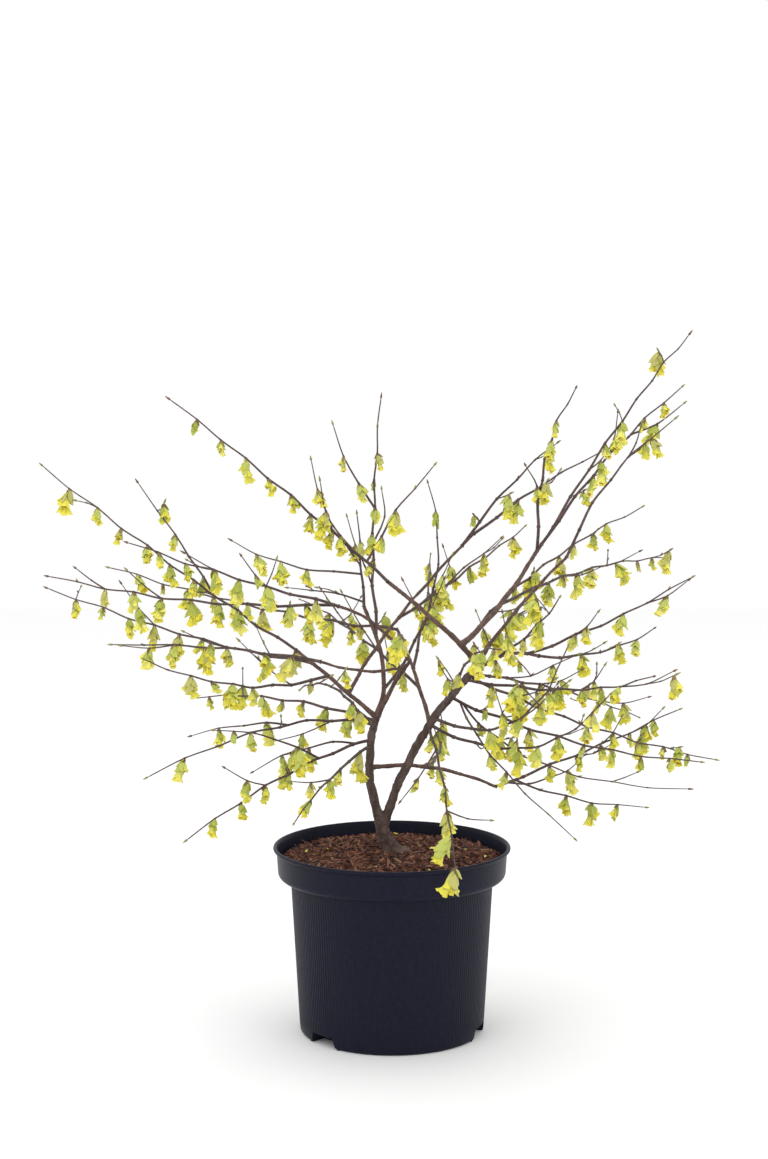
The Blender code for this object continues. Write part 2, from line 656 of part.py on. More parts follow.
def pot_profile():
    band_foot = POT_HEIGHT - BAND_HEIGHT
    lip_foot = POT_HEIGHT - LIP_HEIGHT
    band_foot_radius = BAND_RADIUS - 0.002
    outside = [(0.0, 0.0)]
    outside += arc((BODY_FOOT_RADIUS - FOOT_FILLET, FOOT_FILLET), FOOT_FILLET, -90, 0, 1)
    outside.append((BODY_TOP_RADIUS, band_foot))
    fillet_centre = (band_foot_radius - BAND_FILLET, band_foot + BAND_FILLET)
    outside += arc(fillet_centre, BAND_FILLET, -90, 0, 2)
    outside.append((BAND_RADIUS, lip_foot))
    outside.append((RIM_RADIUS, lip_foot + 0.001))
    outside.append((RIM_RADIUS, POT_HEIGHT))
    inside = [(BAND_RADIUS - WALL, POT_HEIGHT)]
    inside.append((band_foot_radius - WALL, band_foot + BAND_FILLET))
    inside.append((band_foot_radius - BAND_FILLET, band_foot + WALL))
    inside.append((BODY_TOP_RADIUS - WALL, band_foot + WALL))
    inside.append((BODY_FOOT_RADIUS - WALL, FLOOR + WALL))
    inside.append((BODY_FOOT_RADIUS - 2 * WALL, FLOOR))
    inside.append((0.0, FLOOR))
    return outside + inside


def soil_profile():
    band_foot = POT_HEIGHT - BAND_HEIGHT
    band_foot_radius = BAND_RADIUS - 0.002
    clear = 1.5 * GAP
    edge_share = (SOIL_EDGE_HEIGHT - band_foot - BAND_FILLET) / (BAND_HEIGHT - BAND_FILLET)
    edge_radius = band_foot_radius - WALL - clear + 0.002 * edge_share
    outline = [(0.0, FLOOR + GAP)]
    outline.append((BODY_FOOT_RADIUS - 2 * WALL - clear, FLOOR + GAP))
    outline.append((BODY_FOOT_RADIUS - WALL - clear, FLOOR + WALL + GAP))
    outline.append((BODY_TOP_RADIUS - WALL - clear, band_foot + WALL + GAP))
    outline.append((band_foot_radius - BAND_FILLET - clear, band_foot + WALL + GAP))
    outline.append((band_foot_radius - WALL - clear, band_foot + BAND_FILLET + GAP))
    outline.append((edge_radius, SOIL_EDGE_HEIGHT))
    rise = SOIL_TOP_HEIGHT - SOIL_EDGE_HEIGHT
    radius = (SOIL_FLAT_RADIUS + edge_radius) / 2
    outline.append((radius, SOIL_TOP_HEIGHT - rise / 4))
    outline.append((SOIL_FLAT_RADIUS, SOIL_TOP_HEIGHT))
    outline.append((0.0, SOIL_TOP_HEIGHT))
    return outline


def notch_block(name, angle, margin, outer_radius, below):
    """A block as wide as a drain notch and its margin, narrower at the top, set at the pot's foot."""
    inner_radius = BODY_FOOT_RADIUS - NOTCH_DEPTH - margin
    length = outer_radius - inner_radius
    height = NOTCH_HEIGHT + margin + below
    middle = inner_radius + length / 2
    bm = bmesh.new()
    placed = Matrix.Translation((middle, 0.0, height / 2 - below))
    bmesh.ops.create_cube(bm, size=1.0, matrix=placed @ Matrix.Diagonal((length, 1.0, height, 1.0)))
    for vert in bm.verts:
        narrowing = (NOTCH_FOOT_WIDTH - NOTCH_TOP_WIDTH) * vert.co.z / NOTCH_HEIGHT
        width = NOTCH_FOOT_WIDTH - narrowing + 2 * margin
        vert.co.y = math.copysign(width / 2, vert.co.y)
    bmesh.ops.transform(bm, matrix=Matrix.Rotation(math.radians(angle), 4, "Z"), verts=bm.verts[:])
    bmesh.ops.recalc_face_normals(bm, faces=bm.faces[:])
    return object_from(name, bm, POT_PLASTIC)


def boolean(target, other, operation):
    modifier = target.modifiers.new(operation.lower(), "BOOLEAN")
    modifier.operation = operation
    modifier.object = other
    modifier.solver = "EXACT"
    with bpy.context.temp_override(object=target, active_object=target):
        bpy.ops.object.modifier_apply(modifier=modifier.name)
    bpy.data.objects.remove(other, do_unlink=True)


def make_pot():
    """The pot, with a walled pocket behind each drain notch."""
    pot = object_from("pot", turn_profile(pot_profile()), POT_PLASTIC)
    inner = BODY_FOOT_RADIUS - POCKET_INSET
    for number, angle in enumerate(NOTCH_ANGLES):
        boolean(pot, notch_block(f"pocket_{number}", angle, WALL, inner, -0.0005), "UNION")
        boolean(pot, notch_block(f"notch_{number}", angle, 0.0, RIM_RADIUS, 0.005), "DIFFERENCE")
    shade_round(pot)
    return pot


def make_soil():
    """The potting mix that fills the pot, cut away round the pockets."""
    soil = object_from("potting_mix", turn_profile(soil_profile()), POTTING_MIX)
    for number, angle in enumerate(NOTCH_ANGLES):
        clearance = notch_block(f"clearance_{number}", angle, WALL + GAP, RIM_RADIUS, 0.005)
        boolean(soil, clearance, "DIFFERENCE")
    shade_round(soil)
    return soil


def main():
    clear_scene()
    make_pot()
    make_soil()
    crown = Crown()
    laid = lay_limbs(crown)
    meshes = make_limb_meshes(laid)
    for name, *_ in STEMS_AND_BOUGHS:
        limb = object_from(name, meshes[name], BARK)
        shade_round(limb, 50.0)
    flower_count = 0
    for name, *_ in SPRAYS:
        shoots, flowers = grow_spray(crown, laid, name)
        make_spray(name, meshes[name], shoots, flowers)
        flower_count += len(flowers)
    print(f"{len(bpy.data.objects)} solids, {flower_count} flowers")


main()
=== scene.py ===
# %% [markdown]
# # A potted buttercup winter hazel
#
# This lesson dresses the solids of a small shrub that flowers on bare wood: a black nursery pot,
# its potting mix, a low fork with bark, thin zigzag shoots, and clusters of pale yellow bells that
# hang from the nodes. The solids come first, because every piece keeps to their places.

# %% Load the frame
import math
import random

import bmesh
import bpy
import numpy as np
from mathutils import Matrix, Vector


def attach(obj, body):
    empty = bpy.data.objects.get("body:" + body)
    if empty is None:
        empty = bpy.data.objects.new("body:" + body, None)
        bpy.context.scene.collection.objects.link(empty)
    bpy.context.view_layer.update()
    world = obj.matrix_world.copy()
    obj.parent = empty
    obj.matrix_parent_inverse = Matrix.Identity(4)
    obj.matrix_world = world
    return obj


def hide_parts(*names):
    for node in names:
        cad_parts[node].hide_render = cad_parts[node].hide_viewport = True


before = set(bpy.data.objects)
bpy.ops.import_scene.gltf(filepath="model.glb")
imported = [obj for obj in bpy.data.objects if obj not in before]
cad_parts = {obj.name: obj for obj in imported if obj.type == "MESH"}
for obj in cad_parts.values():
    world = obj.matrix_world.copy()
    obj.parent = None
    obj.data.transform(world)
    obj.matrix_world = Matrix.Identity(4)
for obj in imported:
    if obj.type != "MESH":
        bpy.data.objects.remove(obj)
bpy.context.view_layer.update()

print(len(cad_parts), "solids in the frame")

# %% [markdown]
# ## Working as by hand
#
# Every operator acts on what is selected. The helpers below select one object alone, open it in
# edit mode, and pick its corners by where they are, as one would with a box select.


# %% Helpers to select and to finish
def deselect():
    if bpy.context.mode != "OBJECT":
        bpy.ops.object.mode_set(mode="OBJECT")
    bpy.ops.object.select_all(action="DESELECT")


def take(obj):
    """Selects this object alone."""
    deselect()
    obj.select_set(True)
    bpy.context.view_layer.objects.active = obj


def open_mesh(obj):
    take(obj)
    bpy.ops.object.mode_set(mode="EDIT")


def close_mesh():
    bpy.ops.object.mode_set(mode="OBJECT")


def pick(obj, wanted):
    """In edit mode, selects the corners whose place is wanted."""
    bm = bmesh.from_edit_mesh(obj.data)
    bm.select_mode = {"VERT"}
    for vert in bm.verts:
        vert.select = bool(wanted(vert.co))
    bm.select_flush_mode()
    bmesh.update_edit_mesh(obj.data)


def settle(obj):
    """Puts the object's place, turn and size into its mesh."""
    take(obj)
    bpy.ops.object.transform_apply(location=True, rotation=True, scale=True)


def apply_modifier(obj, kind, **settings):
    take(obj)
    bpy.ops.object.modifier_add(type=kind)
    modifier = obj.modifiers[-1]
    for name, value in settings.items():
        setattr(modifier, name, value)
    bpy.ops.object.modifier_apply(modifier=modifier.name)


def weld_and_close():
    """Merges corners that coincide, turns every face outwards and leaves edit mode."""
    bpy.ops.mesh.select_all(action="SELECT")
    bpy.ops.mesh.remove_doubles(threshold=1e-6)
    bpy.ops.mesh.normals_make_consistent(inside=False)
    close_mesh()


def roughen(obj, size, strength, mid_level=0.5, **settings):
    """Raises and lowers a surface by a cloud pattern whose clouds have this size."""
    clouds = bpy.data.textures.new("clouds", "CLOUDS")
    clouds.noise_scale = size
    apply_modifier(obj, "DISPLACE", texture=clouds, strength=strength, mid_level=mid_level, **settings)


def smooth(obj, degrees=None):
    """Smooth shading, with the edges sharper than an angle kept where one is given."""
    take(obj)
    if degrees is None:
        bpy.ops.object.shade_smooth()
    else:
        bpy.ops.object.shade_smooth_by_angle(angle=math.radians(degrees))


def remove(obj):
    bpy.data.objects.remove(obj, do_unlink=True)


def any_angle(rule):
    return rule.uniform(0.0, math.tau)


def dress(obj, name, nodes=(), material=None):
    """Names a finished piece, gives it its finish, hangs it on the root and hides the solids it stands
    for.
    """
    obj.name = name
    obj.data.name = name
    if material:
        obj.data.materials.append(material)
    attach(obj, "root")
    if nodes:
        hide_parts(*nodes)
    count = sum(len(face.vertices) - 2 for face in obj.data.polygons)
    print(f"{name}: {count} triangles")

# %% [markdown]
# ## The camera and the studio
#
# The plant was photographed from a little above its middle, against white. A white floor and a
# white world give that ground, and three wide soft lamps give the even light that shows petals and
# bark without hard shadows.

# %% Camera
CAMERA_PLACE = (-0.0093, -2.467, 0.776)
CAMERA_TILT = math.radians(84.44)
CAMERA_LENS = 66.0
SENSOR_WIDTH = 36.0

deselect()
bpy.ops.object.camera_add(location=CAMERA_PLACE, rotation=(CAMERA_TILT, 0.0, 0.0))
camera = bpy.context.object
camera.data.lens = CAMERA_LENS
camera.data.sensor_width = SENSOR_WIDTH
bpy.context.scene.camera = camera
print("camera", CAMERA_PLACE)


# %% Lights and world
LAMP_AIM = Vector((0.0, 0.0, 0.4))


def soft_lamp(name, place, size, power):
    deselect()
    bpy.ops.object.light_add(type="AREA", location=place)
    lamp = bpy.context.object
    lamp.name = name
    lamp.data.size = size
    lamp.data.energy = power
    aim = LAMP_AIM - Vector(place)
    lamp.rotation_euler = aim.to_track_quat("-Z", "Y").to_euler()


soft_lamp("left_lamp", (-1.8, -2.0, 2.2), 1.8, 16.0)
soft_lamp("right_lamp", (2.1, -1.6, 1.7), 1.8, 9.0)
soft_lamp("top_lamp", (0.0, 0.8, 2.8), 2.0, 12.0)

world = bpy.context.scene.world or bpy.data.worlds.new("studio")
bpy.context.scene.world = world
world.use_nodes = True
backdrop = world.node_tree.nodes["Background"]
backdrop.inputs["Color"].default_value = (1.0, 1.0, 1.0, 1.0)
backdrop.inputs["Strength"].default_value = 1.0
bpy.context.scene.view_settings.view_transform = "Standard"
print("three lamps and a white world")

# %% [markdown]
# ## Finishes
#
# Each finish is one shader with a little noise in its bump and its roughness, in the size that the
# real surface has. Petals, bracts and buds keep plain colours, a few tones each, dealt out from
# cluster to cluster, because on the plant the colour changes from flower to flower.


# %% A finish with grain
GRAIN_DETAIL = 4.0
PATCH_DETAIL = 3.0
PATCH_SCALE = 0.22
PATCH_EDGES = (0.38, 0.66)


def finish(name, colour, roughness, grain=0.002, bump=0.15, spread=0.12, second=None,
           stretch=(1, 1, 1), depth=0.0004):
    """A Principled finish: bump and roughness from noise, and a second tone mixed in if given."""
    material = bpy.data.materials.new(name)
    material.use_nodes = True
    nodes, links = material.node_tree.nodes, material.node_tree.links
    shader = nodes["Principled BSDF"]
    shader.inputs["Base Color"].default_value = (*colour, 1.0)
    shader.inputs["Roughness"].default_value = roughness
    place = nodes.new("ShaderNodeTexCoord")
    turn = nodes.new("ShaderNodeMapping")
    turn.inputs["Scale"].default_value = stretch
    links.new(place.outputs["Object"], turn.inputs["Vector"])
    noise = nodes.new("ShaderNodeTexNoise")
    noise.inputs["Scale"].default_value = 1.0 / grain
    noise.inputs["Detail"].default_value = GRAIN_DETAIL
    links.new(turn.outputs["Vector"], noise.inputs["Vector"])
    relief = nodes.new("ShaderNodeBump")
    relief.inputs["Strength"].default_value = bump
    relief.inputs["Distance"].default_value = depth
    links.new(noise.outputs["Fac"], relief.inputs["Height"])
    links.new(relief.outputs["Normal"], shader.inputs["Normal"])
    rough = nodes.new("ShaderNodeMapRange")
    rough.inputs["To Min"].default_value = roughness - spread
    rough.inputs["To Max"].default_value = min(1.0, roughness + spread)
    links.new(noise.outputs["Fac"], rough.inputs["Value"])
    links.new(rough.outputs["Result"], shader.inputs["Roughness"])
    if second:
        patches = nodes.new("ShaderNodeTexNoise")
        patches.inputs["Scale"].default_value = PATCH_SCALE / grain
        patches.inputs["Detail"].default_value = PATCH_DETAIL
        links.new(turn.outputs["Vector"], patches.inputs["Vector"])
        ramp = nodes.new("ShaderNodeValToRGB")
        for stop, edge, tone in zip(ramp.color_ramp.elements, PATCH_EDGES, (colour, second)):
            stop.position = edge
            stop.color = (*tone, 1.0)
        links.new(patches.outputs["Fac"], ramp.inputs["Fac"])
        links.new(ramp.outputs["Color"], shader.inputs["Base Color"])
    return material


POT_SHEEN = 0.13
FLOOR_WHITE = finish("studio_floor", (0.96, 0.96, 0.96), 0.8, grain=0.01, bump=0.0, spread=0.05)
POT_BLACK = finish("pot_black", (0.0045, 0.0052, 0.0140), 0.42, grain=0.0010, bump=0.12,
                   spread=0.10, second=(0.0070, 0.0080, 0.0210))
POT_BLACK.node_tree.nodes["Principled BSDF"].inputs["Specular IOR Level"].default_value = POT_SHEEN
TRUNK_BARK = finish("trunk_bark", (0.062, 0.037, 0.031), 0.82, grain=0.0016, bump=0.9,
                    second=(0.120, 0.080, 0.068), stretch=(1, 1, 0.35), depth=0.0008)
BOUGH_BARK = finish("bough_bark", (0.072, 0.036, 0.027), 0.72, grain=0.0014, bump=0.45,
                    second=(0.138, 0.078, 0.060), stretch=(1, 1, 0.5), depth=0.0006)
TWIG_BARK = finish("twig_bark", (0.048, 0.027, 0.026), 0.62, grain=0.0012, bump=0.4,
                   second=(0.105, 0.060, 0.050))
print("bark, pot and floor finishes")

# %% The floor
FLOOR_SIZE = 9.0

deselect()
bpy.ops.mesh.primitive_plane_add(size=FLOOR_SIZE, location=(0.0, 0.0, 0.0))
floor = bpy.context.object
settle(floor)
floor.name = "studio_floor"
floor.data.materials.append(FLOOR_WHITE)
print("a floor", FLOOR_SIZE, "m wide")

# %% [markdown]
# ## The nursery pot
#
# The real pot is a thin moulded shell of black plastic, with a deep smooth band and a rolled lip at
# the top, fine upright ribs on the body below it, and three drain notches at the foot. Such a form
# is turned, so half of its section is drawn point by point with extrude and then spun round the
# axis. The ribs need no modelling of their own: with four steps to a rib, every fourth column of
# corners on the body is pulled in by little more than half a millimetre.

# %% Sizes of the pot
# Radii and heights in metres. The foot ring is named by how far in its two edges lie.
POT_HEIGHT = 0.221
RIM_RADIUS = 0.140
BAND_RADIUS = 0.1365
BAND_FOOT_RADIUS = BAND_RADIUS - 0.002
BAND_HEIGHT = 0.037
BAND_FOOT = POT_HEIGHT - BAND_HEIGHT
BODY_TOP_RADIUS = 0.1195
BODY_FOOT_RADIUS = 0.109
WALL = 0.002
FLOOR = 0.0025
FOOT_RECESS = 0.0012
FOOT_RING = (0.016, 0.013)
FOOT_FILLET = 0.0045
BAND_FILLET = 0.007
LIP_HEIGHT = 0.005
RIB_COUNT = 200
RIB_COLUMNS = 4
RIB_DEPTH = 0.0006
RIB_FOOT = 0.019
RIB_TOP = BAND_FOOT - 0.0035
ROLL_RADIUS = 0.0022
print("the pot is", POT_HEIGHT, "m high and", 2 * RIM_RADIUS, "m across the rim")


def arc(centre, radius, start_degrees, end_degrees, steps):
    """Points on an arc in the turning profile, as (distance from the axis, height)."""
    angles = np.radians(np.linspace(start_degrees, end_degrees, steps + 1))
    return [(centre[0] + radius * math.cos(a), centre[1] + radius * math.sin(a)) for a in angles]


def pot_section():
    """The pot's half section, from the axis under the foot round the rim to the axis inside."""
    fillet = (BAND_FOOT_RADIUS - BAND_FILLET, BAND_FOOT + BAND_FILLET)
    roll = (RIM_RADIUS - ROLL_RADIUS, POT_HEIGHT - ROLL_RADIUS)
    recess_edge, ring_edge = [BODY_FOOT_RADIUS - inset for inset in FOOT_RING]
    line = [(0.0, FOOT_RECESS), (recess_edge, FOOT_RECESS), (ring_edge, 0.0)]
    line += arc((BODY_FOOT_RADIUS - FOOT_FILLET, FOOT_FILLET), FOOT_FILLET, -90, 0, 5)
    line += [
        (BODY_FOOT_RADIUS + 0.0004, 0.009),
        (BODY_FOOT_RADIUS + 0.0010, RIB_FOOT),
        (BODY_TOP_RADIUS - 0.0002, BAND_FOOT - 0.004),
        (BODY_TOP_RADIUS + 0.0008, BAND_FOOT - 0.001),
    ]
    line += arc(fillet, BAND_FILLET, -90, 0, 6)
    line.append((BAND_RADIUS - 0.0005, POT_HEIGHT - LIP_HEIGHT - 0.001))
    line += arc(roll, ROLL_RADIUS, -60, 150, 9)
    return line + [
        (BAND_RADIUS - WALL, POT_HEIGHT - LIP_HEIGHT),
        (BAND_FOOT_RADIUS - WALL, BAND_FOOT + BAND_FILLET),
        (BAND_FOOT_RADIUS - BAND_FILLET, BAND_FOOT + WALL),
        (BODY_TOP_RADIUS - WALL, BAND_FOOT + WALL),
        (BODY_FOOT_RADIUS - WALL, FLOOR + WALL),
        (BODY_FOOT_RADIUS - 2 * WALL, FLOOR),
        (0.0, FLOOR),
    ]


# %% Draw a section and spin it
def turned(section, steps):
    """A closed round body: the section is drawn with extrude and spun round the axis."""
    deselect()
    bpy.ops.mesh.primitive_plane_add(size=0.001)
    body = bpy.context.object
    open_mesh(body)
    bpy.ops.mesh.merge(type="CENTER")
    bpy.ops.transform.translate(value=(section[0][0], 0.0, section[0][1]))
    for before, after in zip(section, section[1:]):
        step = (after[0] - before[0], 0.0, after[1] - before[1])
        bpy.ops.mesh.extrude_region_move(TRANSFORM_OT_translate={"value": step})
    bpy.ops.mesh.select_all(action="SELECT")
    bpy.ops.mesh.spin(steps=steps, angle=math.tau, center=(0.0, 0.0, 0.0), axis=(0.0, 0.0, 1.0))
    weld_and_close()
    return body


pot = turned(pot_section(), RIB_COLUMNS * RIB_COUNT)
print(len(pot.data.polygons), "faces in the turned pot")

# %% Press the ribs in
COLUMN_ANGLE = math.tau / (RIB_COLUMNS * RIB_COUNT)
OUTER_SKIN = 0.0012


def in_rib_groove(place):
    """Whether a corner of the pot is on the outer wall, in one of the columns that go in."""
    radius = math.hypot(place.x, place.y)
    wall = BODY_FOOT_RADIUS + (BODY_TOP_RADIUS - BODY_FOOT_RADIUS) * place.z / POT_HEIGHT
    column = round(math.atan2(place.y, place.x) / COLUMN_ANGLE)
    in_zone = RIB_FOOT - 0.001 < place.z < RIB_TOP
    return in_zone and radius > wall - OUTER_SKIN and column % RIB_COLUMNS == 0


open_mesh(pot)
pick(pot, in_rib_groove)
shrink = 1.0 - RIB_DEPTH / BODY_TOP_RADIUS
bpy.ops.transform.resize(value=(shrink, shrink, 1.0), center_override=(0.0, 0.0, 0.0))
close_mesh()
print(RIB_COUNT, "ribs")

# %% [markdown]
# ### The drain notches
#
# Each notch is a low doorway at the foot, with a walled pocket behind it that keeps the mix in. A
# block joined to the pot gives the pocket its walls, and a second block, narrower by a wall on each
# side, then cuts the doorway. Both are a cube whose upper corners are drawn together, and a Boolean
# does the joining and cutting.

# %% Pockets and notches
NOTCH_ANGLES = (-138.0, -18.0, 102.0)
NOTCH_FOOT_WIDTH = 0.046
NOTCH_TOP_WIDTH = 0.034
NOTCH_HEIGHT = 0.013
NOTCH_DEPTH = 0.022
POCKET_INSET = 0.0035
POCKET_LIFT = 0.0005
CUT_BELOW = 0.005


def notch_block(angle, margin, outer_radius, below):
    """A block as wide as a notch and its margin, narrower at the top, set at the pot's foot."""
    inner_radius = BODY_FOOT_RADIUS - NOTCH_DEPTH - margin
    length = outer_radius - inner_radius
    width = NOTCH_FOOT_WIDTH + 2 * margin
    height = NOTCH_HEIGHT + margin + below
    deselect()
    bpy.ops.mesh.primitive_cube_add(size=1.0, location=(0.0, 0.0, height / 2 - below))
    block = bpy.context.object
    block.scale = (length, width, height)
    settle(block)
    open_mesh(block)
    pick(block, lambda place: place.z > height / 2)
    lost = (NOTCH_FOOT_WIDTH - NOTCH_TOP_WIDTH) * (NOTCH_HEIGHT + margin) / NOTCH_HEIGHT
    taper = (width - lost) / width
    bpy.ops.transform.resize(value=(1.0, taper, 1.0), center_override=(0.0, 0.0, 0.0))
    close_mesh()
    turn = math.radians(angle)
    middle = inner_radius + length / 2
    block.location = (middle * math.cos(turn), middle * math.sin(turn), 0.0)
    block.rotation_euler = (0.0, 0.0, turn)
    settle(block)
    return block


for angle in NOTCH_ANGLES:
    pocket = notch_block(angle, WALL, BODY_FOOT_RADIUS - POCKET_INSET, -POCKET_LIFT)
    apply_modifier(pot, "BOOLEAN", operation="UNION", object=pocket, solver="EXACT")
    notch = notch_block(angle, 0.0, RIM_RADIUS, CUT_BELOW)
    apply_modifier(pot, "BOOLEAN", operation="DIFFERENCE", object=notch, solver="EXACT")
    remove(pocket)
    remove(notch)
smooth(pot, 40)
dress(pot, "nursery_pot", ["pot"], POT_BLACK)

# %% [markdown]
# ## The potting mix
#
# The mix is shredded bark: reddish brown chips and fibres from a few millimetres to two
# centimetres, heaped a little towards the trunk. The body below is a turned mound whose top is
# roughened by two cloud patterns. The chips that one sees are copies of three modelled shapes, in
# five tones. There are thousands, so a seeded rule turns and sizes each copy and all go in one mesh.

# %% The mound
GAP = 0.0003
SOIL_EDGE_HEIGHT = 0.204
SOIL_TOP_HEIGHT = 0.210
SOIL_FLAT_RADIUS = 0.055
SOIL_FOOT_HEIGHT = 0.022
SOIL_CLEARANCE = 0.0006
SOIL_RINGS = 46
SOIL_STEPS = 180
CHIP_BED = 0.0012
TRUNK_FOOT = (0.002, 0.018)
EDGE_RADIUS = BAND_RADIUS - WALL - 0.0013
LUMPS = (0.006, 0.0035)
CRUMBS = (0.0022, 0.0022)


def mound_height(radius):
    """The height of the mix at a distance from the axis."""
    share = (radius - SOIL_FLAT_RADIUS) / (EDGE_RADIUS - SOIL_FLAT_RADIUS)
    share = min(1.0, max(0.0, share))
    return SOIL_TOP_HEIGHT - (SOIL_TOP_HEIGHT - SOIL_EDGE_HEIGHT) * share ** 2


def mix_section():
    """The half section of the mix, inside the pot's wall and a little under the mound's height."""
    line = [
        (0.0, SOIL_FOOT_HEIGHT),
        (BODY_FOOT_RADIUS - WALL - SOIL_CLEARANCE, SOIL_FOOT_HEIGHT),
        (BODY_TOP_RADIUS - WALL - SOIL_CLEARANCE, BAND_FOOT + WALL),
        (BAND_FOOT_RADIUS - BAND_FILLET - SOIL_CLEARANCE, BAND_FOOT + WALL + SOIL_CLEARANCE),
        (BAND_FOOT_RADIUS - WALL - SOIL_CLEARANCE, BAND_FOOT + BAND_FILLET + SOIL_CLEARANCE),
    ]
    rings = np.linspace(EDGE_RADIUS, 0.0, SOIL_RINGS)
    return line + [(float(radius), mound_height(radius) - CHIP_BED) for radius in rings]


def on_top(place):
    return place.z > 0.19 and math.hypot(place.x, place.y) < EDGE_RADIUS - 0.003


mound = turned(mix_section(), SOIL_STEPS)
top_corners = mound.vertex_groups.new(name="top")
top_corners.add([vert.index for vert in mound.data.vertices if on_top(vert.co)], 1.0, "REPLACE")
for size, strength in (LUMPS, CRUMBS):
    roughen(mound, size, strength, 0.6, direction="Z", vertex_group="top")
smooth(mound)
MIX_DARK = finish("mix_dark", (0.052, 0.022, 0.014), 0.95, grain=0.0015, bump=1.0, spread=0.04,
                  second=(0.090, 0.040, 0.026), depth=0.0012)
dress(mound, "potting_mix_body", ["potting_mix"], MIX_DARK)


# %% Many copies in one mesh
class Joined:
    """Many copies of small shapes, whose corners are gathered in arrays and made one mesh."""

    def __init__(self):
        self.corners, self.faces, self.tones = [], [], []
        self.count = 0

    def add(self, shape, matrix, tones):
        """Adds a copy. tones is one material number, or one for each face."""
        corners, faces = shape
        self.corners.append(corners @ matrix[:3, :3].T + matrix[:3, 3])
        for face in faces:
            self.faces.append([index + self.count for index in face])
        self.tones += [tones] * len(faces) if isinstance(tones, int) else list(tones)
        self.count += len(corners)

    def make(self, name, materials, smooth_degrees=50.0):
        mesh = bpy.data.meshes.new(name)
        mesh.from_pydata(np.vstack(self.corners).tolist(), [], self.faces)
        obj = bpy.data.objects.new(name, mesh)
        bpy.context.scene.collection.objects.link(obj)
        for material in materials:
            mesh.materials.append(material)
        mesh.polygons.foreach_set("material_index", np.array(self.tones, np.int32))
        smooth(obj, smooth_degrees)
        return obj


def shape_of(obj):
    """The corners and faces of a modelled shape, which is then removed."""
    corners = np.array([vert.co[:] for vert in obj.data.vertices])
    faces = [list(face.vertices) for face in obj.data.polygons]
    remove(obj)
    return corners, faces


def placed(place, turn, size):
    """A 4 x 4 array from a place, a turn and a size along each axis."""
    scale = Matrix.Diagonal((*size, 1.0))
    return np.array(Matrix.Translation(place) @ turn.to_4x4() @ scale)


# %% Shapes of the chips
CHIP_STEP = 0.6
CHIP_BEND = 0.25
CHIP_LIFT = 0.12
CHIP_JITTER = 0.12


def chip_shape(seed, cuts):
    """A shred of bark one unit long: a cube drawn out and narrowed, and its corners then moved.

    Blender keeps extruded corners in no fixed order, so which corner takes which draw, and with it
    the outline of a chip, can differ a little from run to run.
    """
    rule = random.Random(seed)
    deselect()
    bpy.ops.mesh.primitive_cube_add(size=1.0)
    chip = bpy.context.object
    open_mesh(chip)
    for share in cuts:
        pick(chip, lambda place: place.x > 0.4)
        bpy.ops.mesh.select_mode(type="FACE")
        step = (CHIP_STEP, rule.uniform(-CHIP_BEND, CHIP_BEND), CHIP_LIFT)
        bpy.ops.mesh.extrude_region_move(TRANSFORM_OT_translate={"value": step})
        bpy.ops.transform.resize(value=(1.0, share, share))
        bpy.ops.mesh.select_mode(type="VERT")
    bm = bmesh.from_edit_mesh(chip.data)
    for vert in bm.verts:
        vert.co += Vector([rule.uniform(-CHIP_JITTER, CHIP_JITTER) for _ in range(3)])
    longest = max(vert.co.x for vert in bm.verts) - min(vert.co.x for vert in bm.verts)
    for vert in bm.verts:
        vert.co.x = (vert.co.x + 0.5) / longest - 0.5
    bmesh.update_edit_mesh(chip.data)
    close_mesh()
    return shape_of(chip)


CHIPS = [chip_shape(1, (0.8, 0.6)), chip_shape(2, (0.7,)), chip_shape(3, (0.9, 0.5, 0.7))]
print(len(CHIPS), "shapes of chip")

# %% Spread the chips
CHIP_COUNT = 3800
CHIP_COLOURS = ((0.135, 0.047, 0.026), (0.082, 0.028, 0.017), (0.225, 0.100, 0.058),
                (0.030, 0.013, 0.010), (0.290, 0.165, 0.095))
CHIP_TONES = [finish(f"mix_tone_{number + 1}", tone, 0.9, grain=0.0012, bump=0.7, spread=0.06)
              for number, tone in enumerate(CHIP_COLOURS)]
TONE_WEIGHTS = (32, 24, 22, 18, 4)
CHIP_LENGTHS = (0.004, 0.005, 0.006, 0.007, 0.010, 0.014, 0.019)
SHORT_CHIP = 0.003
TRUNK_SPACE = 0.012
WALL_SPACE = 0.0015
CHIP_THICKNESS = (0.0007, 0.0020)
CHIP_BREADTH = (1.0, 2.4)
CHIP_TILT = 0.30
CHIP_RISE = (-0.0010, 0.0018)


def spread_chips():
    rule = random.Random("chips")
    mix = Joined()
    for _ in range(CHIP_COUNT):
        radius = math.sqrt(rule.random()) * (EDGE_RADIUS - 0.0035)
        angle = any_angle(rule)
        place = (radius * math.cos(angle), radius * math.sin(angle))
        from_trunk = math.hypot(place[0] - TRUNK_FOOT[0], place[1] - TRUNK_FOOT[1])
        length = rule.choice(CHIP_LENGTHS)
        reach = length / 2
        if from_trunk < TRUNK_SPACE + reach or radius + reach > EDGE_RADIUS - WALL_SPACE:
            length = SHORT_CHIP
        thick = rule.uniform(*CHIP_THICKNESS)
        wide = thick * rule.uniform(*CHIP_BREADTH)
        turn = Matrix.Rotation(any_angle(rule), 3, "Z")
        turn = turn @ Matrix.Rotation(rule.gauss(0.0, CHIP_TILT), 3, "Y")
        turn = turn @ Matrix.Rotation(any_angle(rule), 3, "X")
        height = mound_height(radius) + rule.uniform(*CHIP_RISE)
        tone = rule.choices(range(len(CHIP_TONES)), TONE_WEIGHTS)[0]
        mix.add(rule.choice(CHIPS), placed((*place, height), turn, (length, wide, thick)), tone)
    return mix.make("bark_chips", CHIP_TONES, 30.0)


dress(spread_chips(), "bark_chips")

